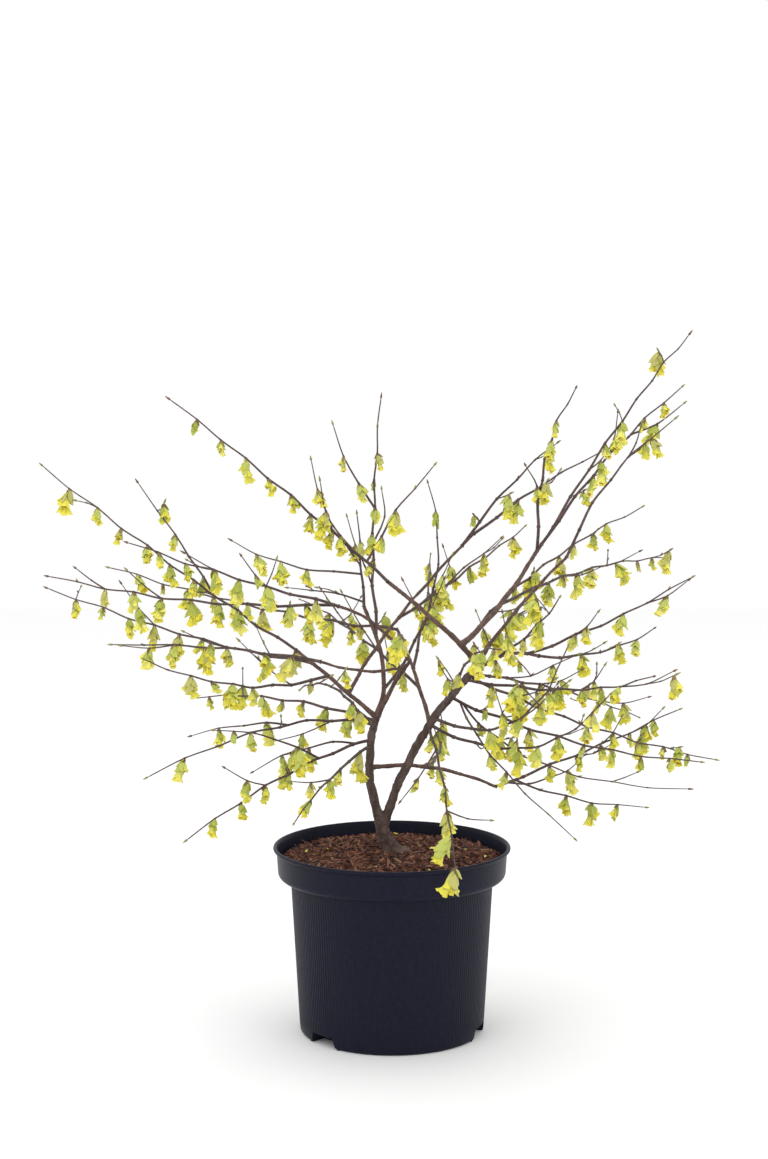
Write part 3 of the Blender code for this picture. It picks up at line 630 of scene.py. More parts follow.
# %% [markdown]
# ## How the plant grows
#
# The limbs are curves from a carrier to a tip with a small zigzag at each node. Side twigs and
# flower clusters sit at the nodes by a seeded rule, and whatever would touch another limb is left
# out. The rule is the one that laid the solids, with the same seeds, so each twig falls in its place.

# %% Stems and boughs
# Name, carrier, where along it, tip, bow of the middle (right, up), radius at the foot and the tip
STEMS_AND_BOUGHS = (
    ("trunk", None, 0.0, (-0.013, 0.012, 0.246), (-0.003, -0.002), 0.0085, 0.0076),
    ("left_stem", "trunk", 1.00, (-0.016, 0.008, 0.378), (-0.012, 0.000), 0.0058, 0.0044),
    ("right_stem", "trunk", 0.80, (0.100, -0.025, 0.436), (-0.009, 0.014), 0.0056, 0.0045),
    ("left_bough", "left_stem", 0.95, (-0.114, 0.045, 0.447), (0.000, 0.001), 0.0030, 0.0022),
    ("cross_bough", "left_bough", 0.35, (0.100, 0.120, 0.580), (-0.016, -0.006), 0.0024, 0.0018),
    ("centre_bough", "left_stem", 1.00, (-0.033, 0.035, 0.500), (0.014, -0.007), 0.0032, 0.0021),
    ("inner_bough", "left_stem", 0.96, (0.021, -0.035, 0.445), (0.002, 0.008), 0.0030, 0.0022),
    ("high_left_bough", "inner_bough", 1.00, (-0.065, -0.075, 0.514), (0.001, 0.011), 0.0022, 0.0018),
    ("mid_left_bough", "inner_bough", 0.85, (-0.080, -0.095, 0.452), (0.002, -0.008), 0.0020, 0.0017),
    ("low_right_bough", "left_stem", 0.50, (0.126, 0.085, 0.274), (0.001, 0.011), 0.0028, 0.0020),
    ("back_bough", "right_stem", 0.58, (0.007, 0.075, 0.468), (0.003, -0.002), 0.0027, 0.0020),
    ("right_bough", "right_stem", 0.98, (0.176, 0.060, 0.438), (0.001, 0.010), 0.0026, 0.0020),
    ("arch_bough", "right_stem", 1.00, (-0.005, -0.100, 0.543), (0.020, -0.012), 0.0038, 0.0023),
    ("tall_bough", "arch_bough", 0.38, (0.179, 0.070, 0.571), (-0.002, -0.013), 0.0035, 0.0024),
    ("outer_bough", "right_stem", 0.96, (0.199, -0.050, 0.566), (-0.008, 0.000), 0.0024, 0.0018),
)
print(len(STEMS_AND_BOUGHS), "stems and boughs")

# %% Shoots
# Name, carrier, where along it, tip, bow of the middle (right, up)
SPRAY_FOOT_RADIUS = 0.0017
SPRAY_TIP_RADIUS = 0.0006
SPRAYS = (
    ("left_high_spray", "left_bough", 1.00, (-0.403, -0.010, 0.668), (0.012, -0.015)),
    ("left_far_spray", "left_bough", 0.80, (-0.425, 0.150, 0.510), (0.017, -0.014)),
    ("left_front_spray", "left_bough", 0.60, (-0.267, -0.190, 0.467), (0.002, -0.020)),
    ("left_fork_spray", "high_left_bough", 0.95, (-0.285, -0.180, 0.593), (0.004, -0.004)),
    ("left_long_spray", "high_left_bough", 1.00, (-0.390, -0.060, 0.545), (-0.002, -0.011)),
    ("left_level_spray", "mid_left_bough", 1.00, (-0.318, -0.060, 0.467), (0.004, 0.006)),
    ("left_back_low_spray", "left_stem", 0.92, (-0.249, 0.180, 0.368), (-0.012, 0.014)),
    ("left_drooping_spray", "left_stem", 0.88, (-0.280, -0.060, 0.314), (0.020, 0.029)),
    ("left_bottom_spray", "left_stem", 0.75, (-0.227, -0.150, 0.261), (0.008, 0.017)),
    ("left_front_bottom_spray", "left_stem", 0.70, (-0.105, -0.230, 0.297), (-0.005, 0.004)),
    ("top_left_spray", "centre_bough", 0.75, (-0.013, 0.040, 0.745), (-0.006, -0.002)),
    ("cut_stub_spray", "centre_bough", 1.00, (-0.041, 0.030, 0.609), (0.001, -0.005)),
    ("top_middle_spray", "centre_bough", 0.25, (0.045, 0.140, 0.640), (0.033, -0.006)),
    ("left_back_spray", "back_bough", 1.00, (-0.353, 0.190, 0.532), (0.014, -0.012)),
    ("arch_left_spray", "arch_bough", 1.00, (-0.250, -0.060, 0.745), (0.013, -0.006)),
    ("cross_far_spray", "cross_bough", 1.00, (0.266, 0.210, 0.678), (0.001, 0.007)),
    ("cross_high_spray", "cross_bough", 0.93, (0.195, 0.060, 0.692), (-0.002, 0.008)),
    ("cross_back_spray", "cross_bough", 0.50, (0.172, 0.270, 0.578), (0.008, 0.003)),
    ("right_back_high_spray", "tall_bough", 0.08, (0.319, 0.240, 0.605), (-0.017, 0.004)),
    ("right_back_level_spray", "tall_bough", 0.50, (0.359, 0.290, 0.536), (-0.004, 0.012)),
    ("right_high_spray", "tall_bough", 1.00, (0.351, 0.120, 0.758), (-0.002, 0.013)),
    ("right_top_spray", "tall_bough", 0.90, (0.346, 0.030, 0.819), (0.014, 0.032)),
    ("right_front_top_spray", "tall_bough", 0.95, (0.203, -0.100, 0.758), (-0.011, 0.016)),
    ("right_outer_spray", "outer_bough", 1.00, (0.318, -0.060, 0.723), (-0.011, 0.011)),
    ("right_bud_spray", "right_stem", 0.99, (0.181, -0.170, 0.532), (0.008, -0.004)),
    ("right_back_spray", "right_bough", 1.00, (0.330, 0.190, 0.455), (0.004, -0.012)),
    ("right_middle_spray", "right_bough", 0.80, (0.349, 0.000, 0.538), (0.005, -0.004)),
    ("right_back_low_spray", "right_stem", 0.95, (0.319, 0.250, 0.333), (0.004, 0.007)),
    ("right_far_spray", "right_stem", 0.93, (0.385, 0.040, 0.316), (-0.006, -0.009)),
    ("right_front_spray", "right_stem", 0.90, (0.275, -0.240, 0.456), (0.018, -0.013)),
    ("right_low_spray", "right_stem", 0.77, (0.348, -0.090, 0.337), (-0.003, -0.014)),
    ("right_front_low_spray", "right_stem", 0.58, (0.232, -0.210, 0.431), (0.014, -0.042)),
    ("right_front_rising_spray", "right_stem", 0.62, (0.183, -0.260, 0.490), (0.018, -0.042)),
    ("front_drooping_spray", "right_stem", 0.57, (0.068, -0.200, 0.241), (0.000, 0.020)),
    ("right_bottom_spray", "low_right_bough", 1.00, (0.353, 0.120, 0.363), (0.004, -0.001)),
    ("front_spray", "inner_bough", 0.60, (0.012, -0.310, 0.504), (-0.004, 0.022)),
    ("front_left_spray", "left_stem", 0.85, (-0.095, -0.320, 0.454), (-0.005, 0.024)),
    ("front_right_spray", "right_stem", 0.72, (0.108, -0.325, 0.496), (0.000, 0.021)),
    ("back_spray", "back_bough", 0.60, (0.052, 0.320, 0.538), (0.005, 0.011)),
    ("back_left_spray", "back_bough", 0.40, (-0.119, 0.310, 0.479), (-0.007, 0.014)),
    ("back_right_spray", "right_stem", 0.85, (0.204, 0.325, 0.464), (0.007, 0.032)),
    ("back_low_spray", "low_right_bough", 0.40, (0.065, 0.320, 0.332), (0.011, -0.016)),
)
print(len(SPRAYS), "sprays")

# %% Longer side twigs
# Spray, where along it, tip, bow of the middle (right, up)
LONG_TWIGS = (
    ("left_high_spray", 0.37, (-0.300, 0.050, 0.645), (0.008, -0.008)),
    ("arch_left_spray", 0.16, (-0.080, -0.110, 0.655), (-0.008, -0.006)),
    ("arch_left_spray", 0.12, (0.045, -0.150, 0.675), (-0.004, 0.004)),
    ("top_left_spray", 0.55, (-0.068, 0.000, 0.715), (-0.004, -0.004)),
    ("top_left_spray", 0.40, (-0.012, 0.090, 0.635), (0.008, 0.000)),
    ("cut_stub_spray", 0.40, (-0.190, 0.070, 0.575), (-0.004, -0.010)),
    ("cut_stub_spray", 0.06, (-0.120, 0.010, 0.525), (-0.002, 0.004)),
    ("left_drooping_spray", 0.46, (-0.235, 0.010, 0.350), (0.004, 0.006)),
    ("left_bottom_spray", 0.10, (-0.160, -0.030, 0.315), (0.004, 0.012)),
    ("left_bottom_spray", 0.33, (-0.195, -0.160, 0.385), (-0.004, 0.010)),
    ("right_front_top_spray", 0.20, (0.155, -0.010, 0.668), (0.004, 0.004)),
    ("cross_back_spray", 0.12, (0.135, 0.170, 0.570), (0.006, 0.004)),
    ("right_high_spray", 0.64, (0.355, 0.130, 0.738), (0.000, -0.004)),
    ("right_low_spray", 0.05, (0.345, -0.020, 0.292), (-0.030, -0.024)),
    ("right_low_spray", 0.04, (0.200, -0.160, 0.265), (-0.020, 0.006)),
    ("right_bottom_spray", 0.10, (0.300, 0.020, 0.262), (0.000, -0.008)),
    ("right_bottom_spray", 0.06, (0.240, 0.150, 0.300), (0.004, -0.012)),
)
print(len(LONG_TWIGS), "longer twigs")

# %% The rule's sizes
ZIGZAG = 0.0014
NODE_SPACING = 0.033
TWIG_NODE_SPACING = 0.034
SECTION_GROWTH = 1.25
BEAD_SPACING = 0.003
BASE_ZONE = 0.035
LIMB_ROOM = 0.0011
TWIG_ROOM = 0.0010
DEPTH_NUDGES = (0, 8, -8, 16, -16, 24, -24, 32, -32, 40, -40, 50, -50, 60, -60, 70, -70)
TWIG_LENGTHS = (0.040, 0.085)
TWIG_FORK = (32.0, 52.0)
TWIG_LIFT = 0.35
TWIG_CHANCE = 0.27
TWIG_RADIUS = 0.0009
TWIG_TIP_RADIUS = 0.0005
FLOWER_LENGTHS = (0.017, 0.031)
FLOWER_SLENDERNESS = 0.23
FLOWER_NECK = 0.0012
FLOWER_WIDEST = 0.66
FLOWER_CHANCE = 0.55
BARE_SHARE = 0.30
FLOWER_SWAY = 0.10
CROWN_BOX = ((-0.43, -0.335, 0.216), (0.395, 0.335, 0.822))
STEM_SIDES = 12
BOUGH_SIDES = 8
TWIG_SIDES = 3
BOUGH_SEGMENT = 0.026
BOUGH_WAVER = 0.0005
LONG_TWIG_GROWTH = 1.4
TWIG_SHORTENING = (1.15, 0.5)
TWIG_ROLL = 0.9
TWIG_SAG = 0.06
FLOWER_SHORTENING = (1.08, 0.35)
SIDE_BARE_SHARE = 0.1
print("nodes", NODE_SPACING, "m apart on a shoot")


# %% Curves with nodes
def unit(vector):
    return vector / np.linalg.norm(vector)


def curve_points(start, tip, bow, count):
    """Points from start to tip, on a curve whose middle is pushed aside by the bow."""
    middle = (start + tip) / 2 + 2 * bow
    share = np.linspace(0.0, 1.0, count + 1)[:, None]
    return (1 - share) ** 2 * start + 2 * share * (1 - share) * middle + share**2 * tip


def zigzag(points, seed, amount):
    """Moves each inner point a little aside, turn and turn about, as shoots do at their nodes."""
    rule = random.Random(seed)
    along = unit(points[-1] - points[0])
    side = unit(np.cross(along, (0.3, 1.0, 0.2)))
    other = np.cross(along, side)
    moved = points.copy()
    for index in range(1, len(points) - 1):
        turn = -1 if index % 2 else 1
        moved[index] += turn * amount * rule.uniform(0.4, 1.3) * side
        moved[index] += amount * rule.uniform(-0.6, 0.6) * other
    return moved


def place_along(points, share):
    """The place at a share of the way along a chain of points."""
    place = share * (len(points) - 1)
    index = min(int(place), len(points) - 2)
    return points[index] + (place - index) * (points[index + 1] - points[index])


def radii_along(count, foot, tip):
    return np.linspace(foot, tip, count + 1)


def beads(points, radii, skip=0.0):
    """Close samples along a chain, each a place and a radius, past the first stretch."""
    places, sizes = [], []
    walked = 0.0
    for index in range(len(points) - 1):
        step = points[index + 1] - points[index]
        length = np.linalg.norm(step)
        count = max(1, math.ceil(length / BEAD_SPACING))
        for part in range(count):
            share = part / count
            if walked + share * length >= skip:
                places.append(points[index] + share * step)
                sizes.append(radii[index] + share * (radii[index + 1] - radii[index]))
        walked += length
    places.append(points[-1])
    sizes.append(radii[-1])
    return np.array(places), np.array(sizes)


# %% Room between limbs
class Crown:
    """Every limb, twig and flower laid so far, as tapered lengths that others keep clear of."""

    def __init__(self):
        self.starts = np.empty((0, 3))
        self.steps = np.empty((0, 3))
        self.start_radii = np.empty(0)
        self.radius_steps = np.empty(0)
        self.owners = []

    def hold(self, owner, points, radii):
        self.starts = np.vstack([self.starts, points[:-1]])
        self.steps = np.vstack([self.steps, points[1:] - points[:-1]])
        self.start_radii = np.append(self.start_radii, radii[:-1])
        self.radius_steps = np.append(self.radius_steps, radii[1:] - radii[:-1])
        self.owners += [owner] * (len(points) - 1)

    def room(self, points, radii, owners_passed, skip=0.0):
        """The least room between a chain and what is held, apart from the owners passed over."""
        kept = np.array([owner not in owners_passed for owner in self.owners], bool)
        if not kept.any():
            return math.inf
        places, sizes = beads(points, radii, skip)
        starts, steps = self.starts[kept], self.steps[kept]
        offset = places[:, None, :] - starts[None, :, :]
        share = (offset * steps).sum(axis=2) / (steps**2).sum(axis=1)
        share = np.clip(share, 0.0, 1.0)
        apart = np.linalg.norm(offset - share[:, :, None] * steps, axis=2)
        thickness = self.start_radii[kept] + share * self.radius_steps[kept]
        return float((apart - thickness - sizes[:, None]).min())


def section_radius(radius, sides):
    """The corner radius of a section, a little larger on few sides so that it looks as thick."""
    return radius * (SECTION_GROWTH if sides == TWIG_SIDES else 1.0)


# %% Laying limbs
def lay_limb(crown, laid, name, carrier, share, tip, bow, radii, sides, spacing, waver):
    """Lays a limb from its carrier to its tip, with its middle moved in depth until it is clear."""
    if carrier is None:
        start = np.array((*TRUNK_FOOT, SOIL_TOP_HEIGHT + GAP))
    else:
        start = place_along(laid[carrier][0], share)
    tip = np.array(tip)
    count = max(4, round(np.linalg.norm(tip - start) / spacing))
    widths = section_radius(radii_along(count, *radii), sides)
    best = None
    for nudge in DEPTH_NUDGES:
        push = np.array((bow[0], nudge / 1000, bow[1]))
        points = zigzag(curve_points(start, tip, push, count), name, waver)
        room = crown.room(points, widths, (), BASE_ZONE)
        if best is None or room > best[0]:
            best = (room, points)
        if room > LIMB_ROOM:
            break
    room, points = best
    if room < LIMB_ROOM and carrier is not None:
        print(f"{name} has only {room * 1000:.2f} mm of room")
    crown.hold(name, points, widths)
    laid[name] = (points, widths)


def lay_limbs(crown):
    laid = {}
    for name, carrier, share, tip, bow, foot, end in STEMS_AND_BOUGHS:
        sides = STEM_SIDES if name in ("trunk", "left_stem", "right_stem") else BOUGH_SIDES
        radii = (foot, end)
        lay_limb(crown, laid, name, carrier, share, tip, bow, radii, sides, BOUGH_SEGMENT, BOUGH_WAVER)
    for name, carrier, share, tip, bow in SPRAYS:
        radii = (SPRAY_FOOT_RADIUS, SPRAY_TIP_RADIUS)
        lay_limb(crown, laid, name, carrier, share, tip, bow, radii, TWIG_SIDES, NODE_SPACING, ZIGZAG)
    return laid


# %% Side twigs and the places of flowers
def inside_crown(points):
    low, high = np.array(CROWN_BOX)
    return bool((points >= low).all() and (points <= high).all())


def lay_twig(crown, spray, start, tip, bow, seed, radius):
    """A side twig of a spray, or None where it would touch another limb or leave the crown."""
    count = max(2, round(np.linalg.norm(tip - start) / TWIG_NODE_SPACING))
    points = zigzag(curve_points(start, tip, bow, count), seed, ZIGZAG)
    widths = section_radius(radii_along(count, radius, TWIG_TIP_RADIUS), TWIG_SIDES)
    if not inside_crown(points) or crown.room(points, widths, (spray,)) < TWIG_ROOM:
        return None
    crown.hold(spray, points, widths)
    return points, widths


def short_twigs(rule, points):
    """Start, tip and bow of each short side twig, turn and turn about from the nodes of a shoot."""
    longest, loss = TWIG_SHORTENING
    for index in range(2, len(points) - 2):
        chosen = rule.random() < TWIG_CHANCE
        length = rule.uniform(*TWIG_LENGTHS) * (longest - loss * index / len(points))
        fork = math.radians(rule.uniform(*TWIG_FORK)) * (-1 if index % 2 else 1)
        roll = rule.uniform(-TWIG_ROLL, TWIG_ROLL)
        if not chosen:
            continue
        along = unit(points[index + 1] - points[index])
        side = unit(np.cross(along, (0.0, 0.25, 1.0)))
        other = np.cross(side, along)
        away = math.cos(roll) * side + math.sin(roll) * other
        heading = unit(math.cos(fork) * along + math.sin(fork) * away + (0.0, 0.0, TWIG_LIFT))
        tip = points[index] + length * heading
        bow = np.array((0.0, 0.0, -TWIG_SAG * length))
        yield points[index], tip, bow


def any_sway(rule):
    return rule.uniform(-FLOWER_SWAY, FLOWER_SWAY), rule.uniform(-FLOWER_SWAY, FLOWER_SWAY)


def flower_places(rule, points, bare_share):
    """Top, length and sway of each flower hanging from the nodes of a shoot."""
    shortest, longest = FLOWER_LENGTHS
    full, loss = FLOWER_SHORTENING
    for index in range(1, len(points) - 1):
        chosen = rule.random() < FLOWER_CHANCE
        size = rule.random()
        sway = any_sway(rule)
        share = index / (len(points) - 1)
        if not chosen or share < bare_share:
            continue
        length = (shortest + size * (longest - shortest)) * (full - loss * share)
        yield points[index], length, sway


def flower_chain(top, length, sway):
    """A hanging flower's centres and radii: a narrow neck, its widest place, its tip."""
    hang = np.array((sway[0], sway[1], -1.0)) * length
    centres = np.array([top, top + FLOWER_WIDEST * hang, top + hang])
    radii = np.array([FLOWER_NECK, FLOWER_SLENDERNESS * length, 0.0])
    return centres, radii


def hang_flower(crown, spray, flowers, top, length, sway):
    """Hangs a flower where it stays in the crown and clear of the other sprays."""
    centres, radii = flower_chain(top, length, sway)
    if inside_crown(centres) and crown.room(centres, radii, (spray,)) > TWIG_ROOM:
        crown.hold(spray, centres, radii)
        flowers.append(centres)


def grow_spray(crown, laid, name):
    """The twigs and flowers of one spray, each kept clear of every other limb."""
    rule = random.Random(name + " growth")
    leader, widths = laid[name]
    shoots = [(leader, widths)]
    for number, (spray, share, tip, bow) in enumerate(LONG_TWIGS):
        if spray != name:
            continue
        start = place_along(leader, share)
        push = np.array((bow[0], 0.0, bow[1]))
        radius = LONG_TWIG_GROWTH * TWIG_RADIUS
        twig = lay_twig(crown, name, start, np.array(tip), push, f"{name} {number}", radius)
        if twig is None:
            print(f"a long twig of {name} is skipped")
        else:
            shoots.append(twig)
    for number, (start, tip, bow) in enumerate(short_twigs(rule, leader)):
        twig = lay_twig(crown, name, start, tip, bow, f"{name} side {number}", TWIG_RADIUS)
        if twig is not None:
            shoots.append(twig)
    flowers = []
    for number, (points, _) in enumerate(shoots):
        bare_share = BARE_SHARE if number == 0 else SIDE_BARE_SHARE
        for top, length, sway in flower_places(rule, points, bare_share):
            hang_flower(crown, name, flowers, top, length, sway)
    return shoots, flowers


# %% Grow the plant
crown = Crown()
laid = lay_limbs(crown)
grown = {name: grow_spray(crown, laid, name) for name, *_ in SPRAYS}
print(sum(len(shoots) for shoots, _ in grown.values()), "shoots and twigs,",
      sum(len(flowers) for _, flowers in grown.values()), "clusters from the rule")

# %% [markdown]
# ### Finer growth
#
# Between the twigs of the solids the real plant has short spurs of one to three centimetres, and
# more clusters. A second rule with seeds of its own adds them last, so that the draws of the first
# rule stay as they are. Each one is tested for room and for the crown's reach in the same way. Only
# the heavy clusters in front of the pot's rim are hung by choice, at the end of one shoot.

# %% Spurs and further clusters
SPUR_LENGTHS = (0.012, 0.034)
SHORT_SPUR = 0.022
SPUR_LIFT = (0.1, 0.9)
SPUR_RADIUS = 0.0007
SPUR_CHANCE = 0.13
FURTHER_CHANCE = 0.36
FURTHER_LENGTHS = (0.016, 0.029)
HEAVY_SPRAY = "front_drooping_spray"
HEAVY_LENGTHS = (0.033, 0.031, 0.028)
HEAVY_SWAY = (0.08, -0.06)


def add_finer_growth(name):
    """Short spurs from the nodes of a spray, each with a cluster at its tip or none, and more clusters."""
    rule = random.Random(name + " finer")
    shoots, flowers = grown[name]
    tops = [tuple(centres[0]) for centres in flowers]
    for points, _ in list(shoots):
        for index in range(1, len(points) - 1):
            top = node = points[index]
            spur_wanted = rule.random() < SPUR_CHANCE
            cluster_wanted = rule.random() < FURTHER_CHANCE
            angle = any_angle(rule)
            lift = rule.uniform(*SPUR_LIFT)
            length = rule.uniform(*SPUR_LENGTHS)
            sway = any_sway(rule)
            size = rule.uniform(*FURTHER_LENGTHS)
            if spur_wanted:
                along = unit(points[index + 1] - node)
                heading = unit(0.5 * along + np.array((math.cos(angle), math.sin(angle), lift)))
                seed = f"{name} spur {index}"
                spur = lay_twig(crown, name, node, node + length * heading, np.zeros(3), seed, SPUR_RADIUS)
                if spur is None:
                    continue
                shoots.append(spur)
                top = spur[0][-1]
            wanted = cluster_wanted or (spur_wanted and length < SHORT_SPUR)
            if wanted and tuple(top) not in tops:
                hang_flower(crown, name, flowers, top, size, sway)


def load_the_tip(name):
    """Hangs a heavy cluster at the tip of a spray's leader and at each of the nodes before it."""
    shoots, flowers = grown[name]
    leader = shoots[0][0]
    for number, size in enumerate(HEAVY_LENGTHS):
        sway = (HEAVY_SWAY[0] * (-1) ** number, HEAVY_SWAY[1])
        flowers.append(flower_chain(leader[-1 - number], size, sway)[0])


for name, *_ in SPRAYS:
    add_finer_growth(name)
load_the_tip(HEAVY_SPRAY)
CLUSTERS = [(name, centres) for name, (_, flowers) in grown.items() for centres in flowers]
print(sum(len(shoots) for shoots, _ in grown.values()), "shoots and twigs,", len(CLUSTERS), "clusters")

# %% [markdown]
# ## Trunk, stems and boughs
#
# Bark has no hard joins: where a bough leaves its stem there is a swollen collar. Round pipes with
# a radius at each point are laid from the middle of the carrier, a voxel remesh melts them into one
# skin, and smoothing rounds the forks into collars. Displace then raises the bark: low ridges first,
# and a fine grain on top.


# %% Pipes from chains
def smooth_chain(points, widths, shares, swell):
    """A rounder chain through the same nodes, with the shoot a little thicker at each node."""
    count = len(points) - 1
    ends = np.vstack([2 * points[0] - points[1], points, 2 * points[-1] - points[-2]])
    places, sizes = [], []
    for index in range(count):
        a, b, c, d = ends[index:index + 4]
        for number, t in enumerate(shares):
            curve = 0.5 * (2 * b + (c - a) * t + (2 * a - 5 * b + 4 * c - d) * t * t
                           + (3 * b - a - 3 * c + d) * t ** 3)
            places.append(curve)
            width = widths[index] + (widths[index + 1] - widths[index]) * t
            sizes.append(width * (swell if number == 0 else 1.0))
    places.append(points[-1])
    sizes.append(widths[-1])
    return np.array(places), np.array(sizes)


def pipes(chains, resolution):
    """Closed round pipes along chains of points and radii, as one mesh."""
    deselect()
    bpy.ops.curve.primitive_bezier_curve_add()
    obj = bpy.context.object
    curve = obj.data
    curve.splines.clear()
    curve.dimensions = "3D"
    curve.bevel_depth = 1.0
    curve.bevel_resolution = resolution
    curve.use_fill_caps = True
    curve.resolution_u = 1
    for points, widths in chains:
        spline = curve.splines.new("POLY")
        spline.points.add(len(points) - 1)
        for point, place, width in zip(spline.points, points, widths):
            point.co = (*place, 1.0)
            point.radius = float(width)
    take(obj)
    bpy.ops.object.convert(target="MESH")
    obj = bpy.context.object
    open_mesh(obj)
    weld_and_close()
    return obj


# %% Melt the pipes into one skin
SMOOTH_SHARES = (0.0, 0.2, 0.4, 0.6, 0.8)
TRUNK_PIECES = ["trunk", "left_stem", "right_stem"]
BOUGHS = [row[0] for row in STEMS_AND_BOUGHS if row[0] not in TRUNK_PIECES]
LIMB_SWELL = 1.06
COLLAR_GROWTH = (1.30, 1.22, 1.12, 1.05)
TRUNK_SINK = 0.006
TRUNK_FOOT_GROWTH = 1.1
RIDGE_SIZE = 0.010
GRAIN_SIZE = 0.0028


def limb_chain(name):
    """The chain of one limb: the trunk sunk a little in the mix, any other with a collar."""
    points, widths = laid[name]
    places, sizes = smooth_chain(points, widths, SMOOTH_SHARES, LIMB_SWELL)
    if name == "trunk":
        foot = places[0] - (0.0, 0.0, TRUNK_SINK)
        return np.vstack([foot, places]), np.append(sizes[0] * TRUNK_FOOT_GROWTH, sizes)
    sizes[:len(COLLAR_GROWTH)] *= COLLAR_GROWTH
    return places, sizes


def bark_skin(names, voxel, ridge, grain):
    """The limbs melted into one skin, with ridges and a grain of the given heights."""
    skin = pipes([limb_chain(name) for name in names], 3)
    apply_modifier(skin, "REMESH", mode="VOXEL", voxel_size=voxel)
    apply_modifier(skin, "SMOOTH", factor=0.5, iterations=6)
    roughen(skin, RIDGE_SIZE, ridge)
    roughen(skin, GRAIN_SIZE, grain)
    return skin


trunk = bark_skin(TRUNK_PIECES, voxel=0.0007, ridge=0.0022, grain=0.0013)
print(len(trunk.data.polygons), "faces on the trunk and stems")

# %% [markdown]
# ### The root flare
#
# At the ground the trunk spreads, and one surface root runs off to the right. On the finished skin
# the corners near the ground are pushed outwards, most at the mix and not at all above the flare.

# %% Flare the foot
FLARE_HEIGHT = 0.014
FLARE_SPREAD = 0.0065
ROOT_REACH = 0.010
ROOT_ANGLE = -0.25


def flare_roots(bm, foot):
    """Spreads the trunk's foot into a root flare, with one root running off to the right."""
    for vert in bm.verts:
        height = vert.co.z - foot[2]
        if height > FLARE_HEIGHT:
            continue
        share = (1.0 - height / FLARE_HEIGHT) ** 2
        outward = Vector((vert.co.x - foot[0], vert.co.y - foot[1], 0.0))
        if outward.length < 0.001:
            continue
        angle = math.atan2(outward.y, outward.x)
        lobes = 0.65 + 0.35 * math.cos(3.0 * angle)
        root = ROOT_REACH * max(0.0, math.cos(angle - ROOT_ANGLE)) ** 6
        vert.co += outward.normalized() * share * (FLARE_SPREAD * lobes + root)


skin = bmesh.new()
skin.from_mesh(trunk.data)
flare_roots(skin, (*TRUNK_FOOT, SOIL_TOP_HEIGHT))
skin.to_mesh(trunk.data)
skin.free()
smooth(trunk)
dress(trunk, "trunk_and_stems", TRUNK_PIECES, TRUNK_BARK)

# %% The boughs in one skin
boughs = bark_skin(BOUGHS, voxel=0.0008, ridge=0.0010, grain=0.0007)
smooth(boughs)
dress(boughs, "boughs", BOUGHS, BOUGH_BARK)

# %% [markdown]
# ## Twigs
#
# The shoots are too many and too thin for a remesh, so they stay pipes of six sides. What makes
# them read as winter hazel is the swelling at every node, and the kink there, so the points stand
# close at the nodes and wide between them.

# %% All twigs
NODE_SHARES = (0.0, 0.07, 0.3, 0.6, 0.93)
TWIG_SLIMNESS = 0.93
TWIG_SWELL = 1.45
LEADER_FOOT_GROWTH = 1.5
SIDE_FOOT_GROWTH = 1.25
TIP_SHRINK = 0.8


def twig_chain(number, points, widths):
    """The chain of one shoot of a spray. The first is its leader, with a thicker foot."""
    slim = widths * TWIG_SLIMNESS
    places, sizes = smooth_chain(points, slim, NODE_SHARES, TWIG_SWELL)
    sizes[0] = slim[0] * (LEADER_FOOT_GROWTH if number == 0 else SIDE_FOOT_GROWTH)
    sizes[-1] *= TIP_SHRINK
    return places, sizes


twigs = pipes([twig_chain(number, *shoot) for shoots, _ in grown.values()
               for number, shoot in enumerate(shoots)], 1)
smooth(twigs, 60)
dress(twigs, "twigs", [name for name, *_ in SPRAYS], TWIG_BARK)

# %% [markdown]
# ## The flowers
#
# A cluster hangs from a node, with a pair of small brown scales at its top. Papery pale green bracts
# overlap below them, and up to four bells hang out of the bracts, each of five soft petals with a
# flared, uneven lip and orange anthers inside. Petals, bracts and scales are thin blades, so one
# helper shapes them all: a small grid stood upright, each row narrowed and moved outwards, then
# given its thickness.


# %% Blades
BLADE_COLUMNS = 2
PETAL_THICKNESS = 0.022
BRACT_THICKNESS = 0.025
SCALE_THICKNESS = 0.05


def blade(widths, outs, cup, tip_drop, thickness):
    """A hanging blade one unit long: a width and an outward place for each row, top row first."""
    rows = len(widths) - 1
    deselect()
    bpy.ops.mesh.primitive_grid_add(x_subdivisions=BLADE_COLUMNS, y_subdivisions=rows, size=1.0,
                                    location=(0.0, 0.0, -0.5), rotation=(math.pi / 2, 0.0, 0.0))
    leaf = bpy.context.object
    settle(leaf)
    open_mesh(leaf)
    for row, (width, out) in enumerate(zip(widths, outs)):
        height = -row / rows
        pick(leaf, lambda place: abs(place.z - height) < 0.01 and abs(place.x) > 0.1)
        bpy.ops.transform.translate(value=(0.0, -cup * width, 0.0))
        pick(leaf, lambda place: abs(place.z - height) < 0.01)
        bpy.ops.transform.resize(value=(width, 1.0, 1.0), center_override=(0.0, 0.0, height))
        bpy.ops.transform.translate(value=(0.0, out, 0.0))
    pick(leaf, lambda place: place.z < -0.99 and abs(place.x) < 0.05)
    bpy.ops.transform.translate(value=(0.0, 0.0, -tip_drop))
    close_mesh()
    apply_modifier(leaf, "SOLIDIFY", thickness=thickness, offset=0.0)
    open_mesh(leaf)
    weld_and_close()
    return shape_of(leaf)


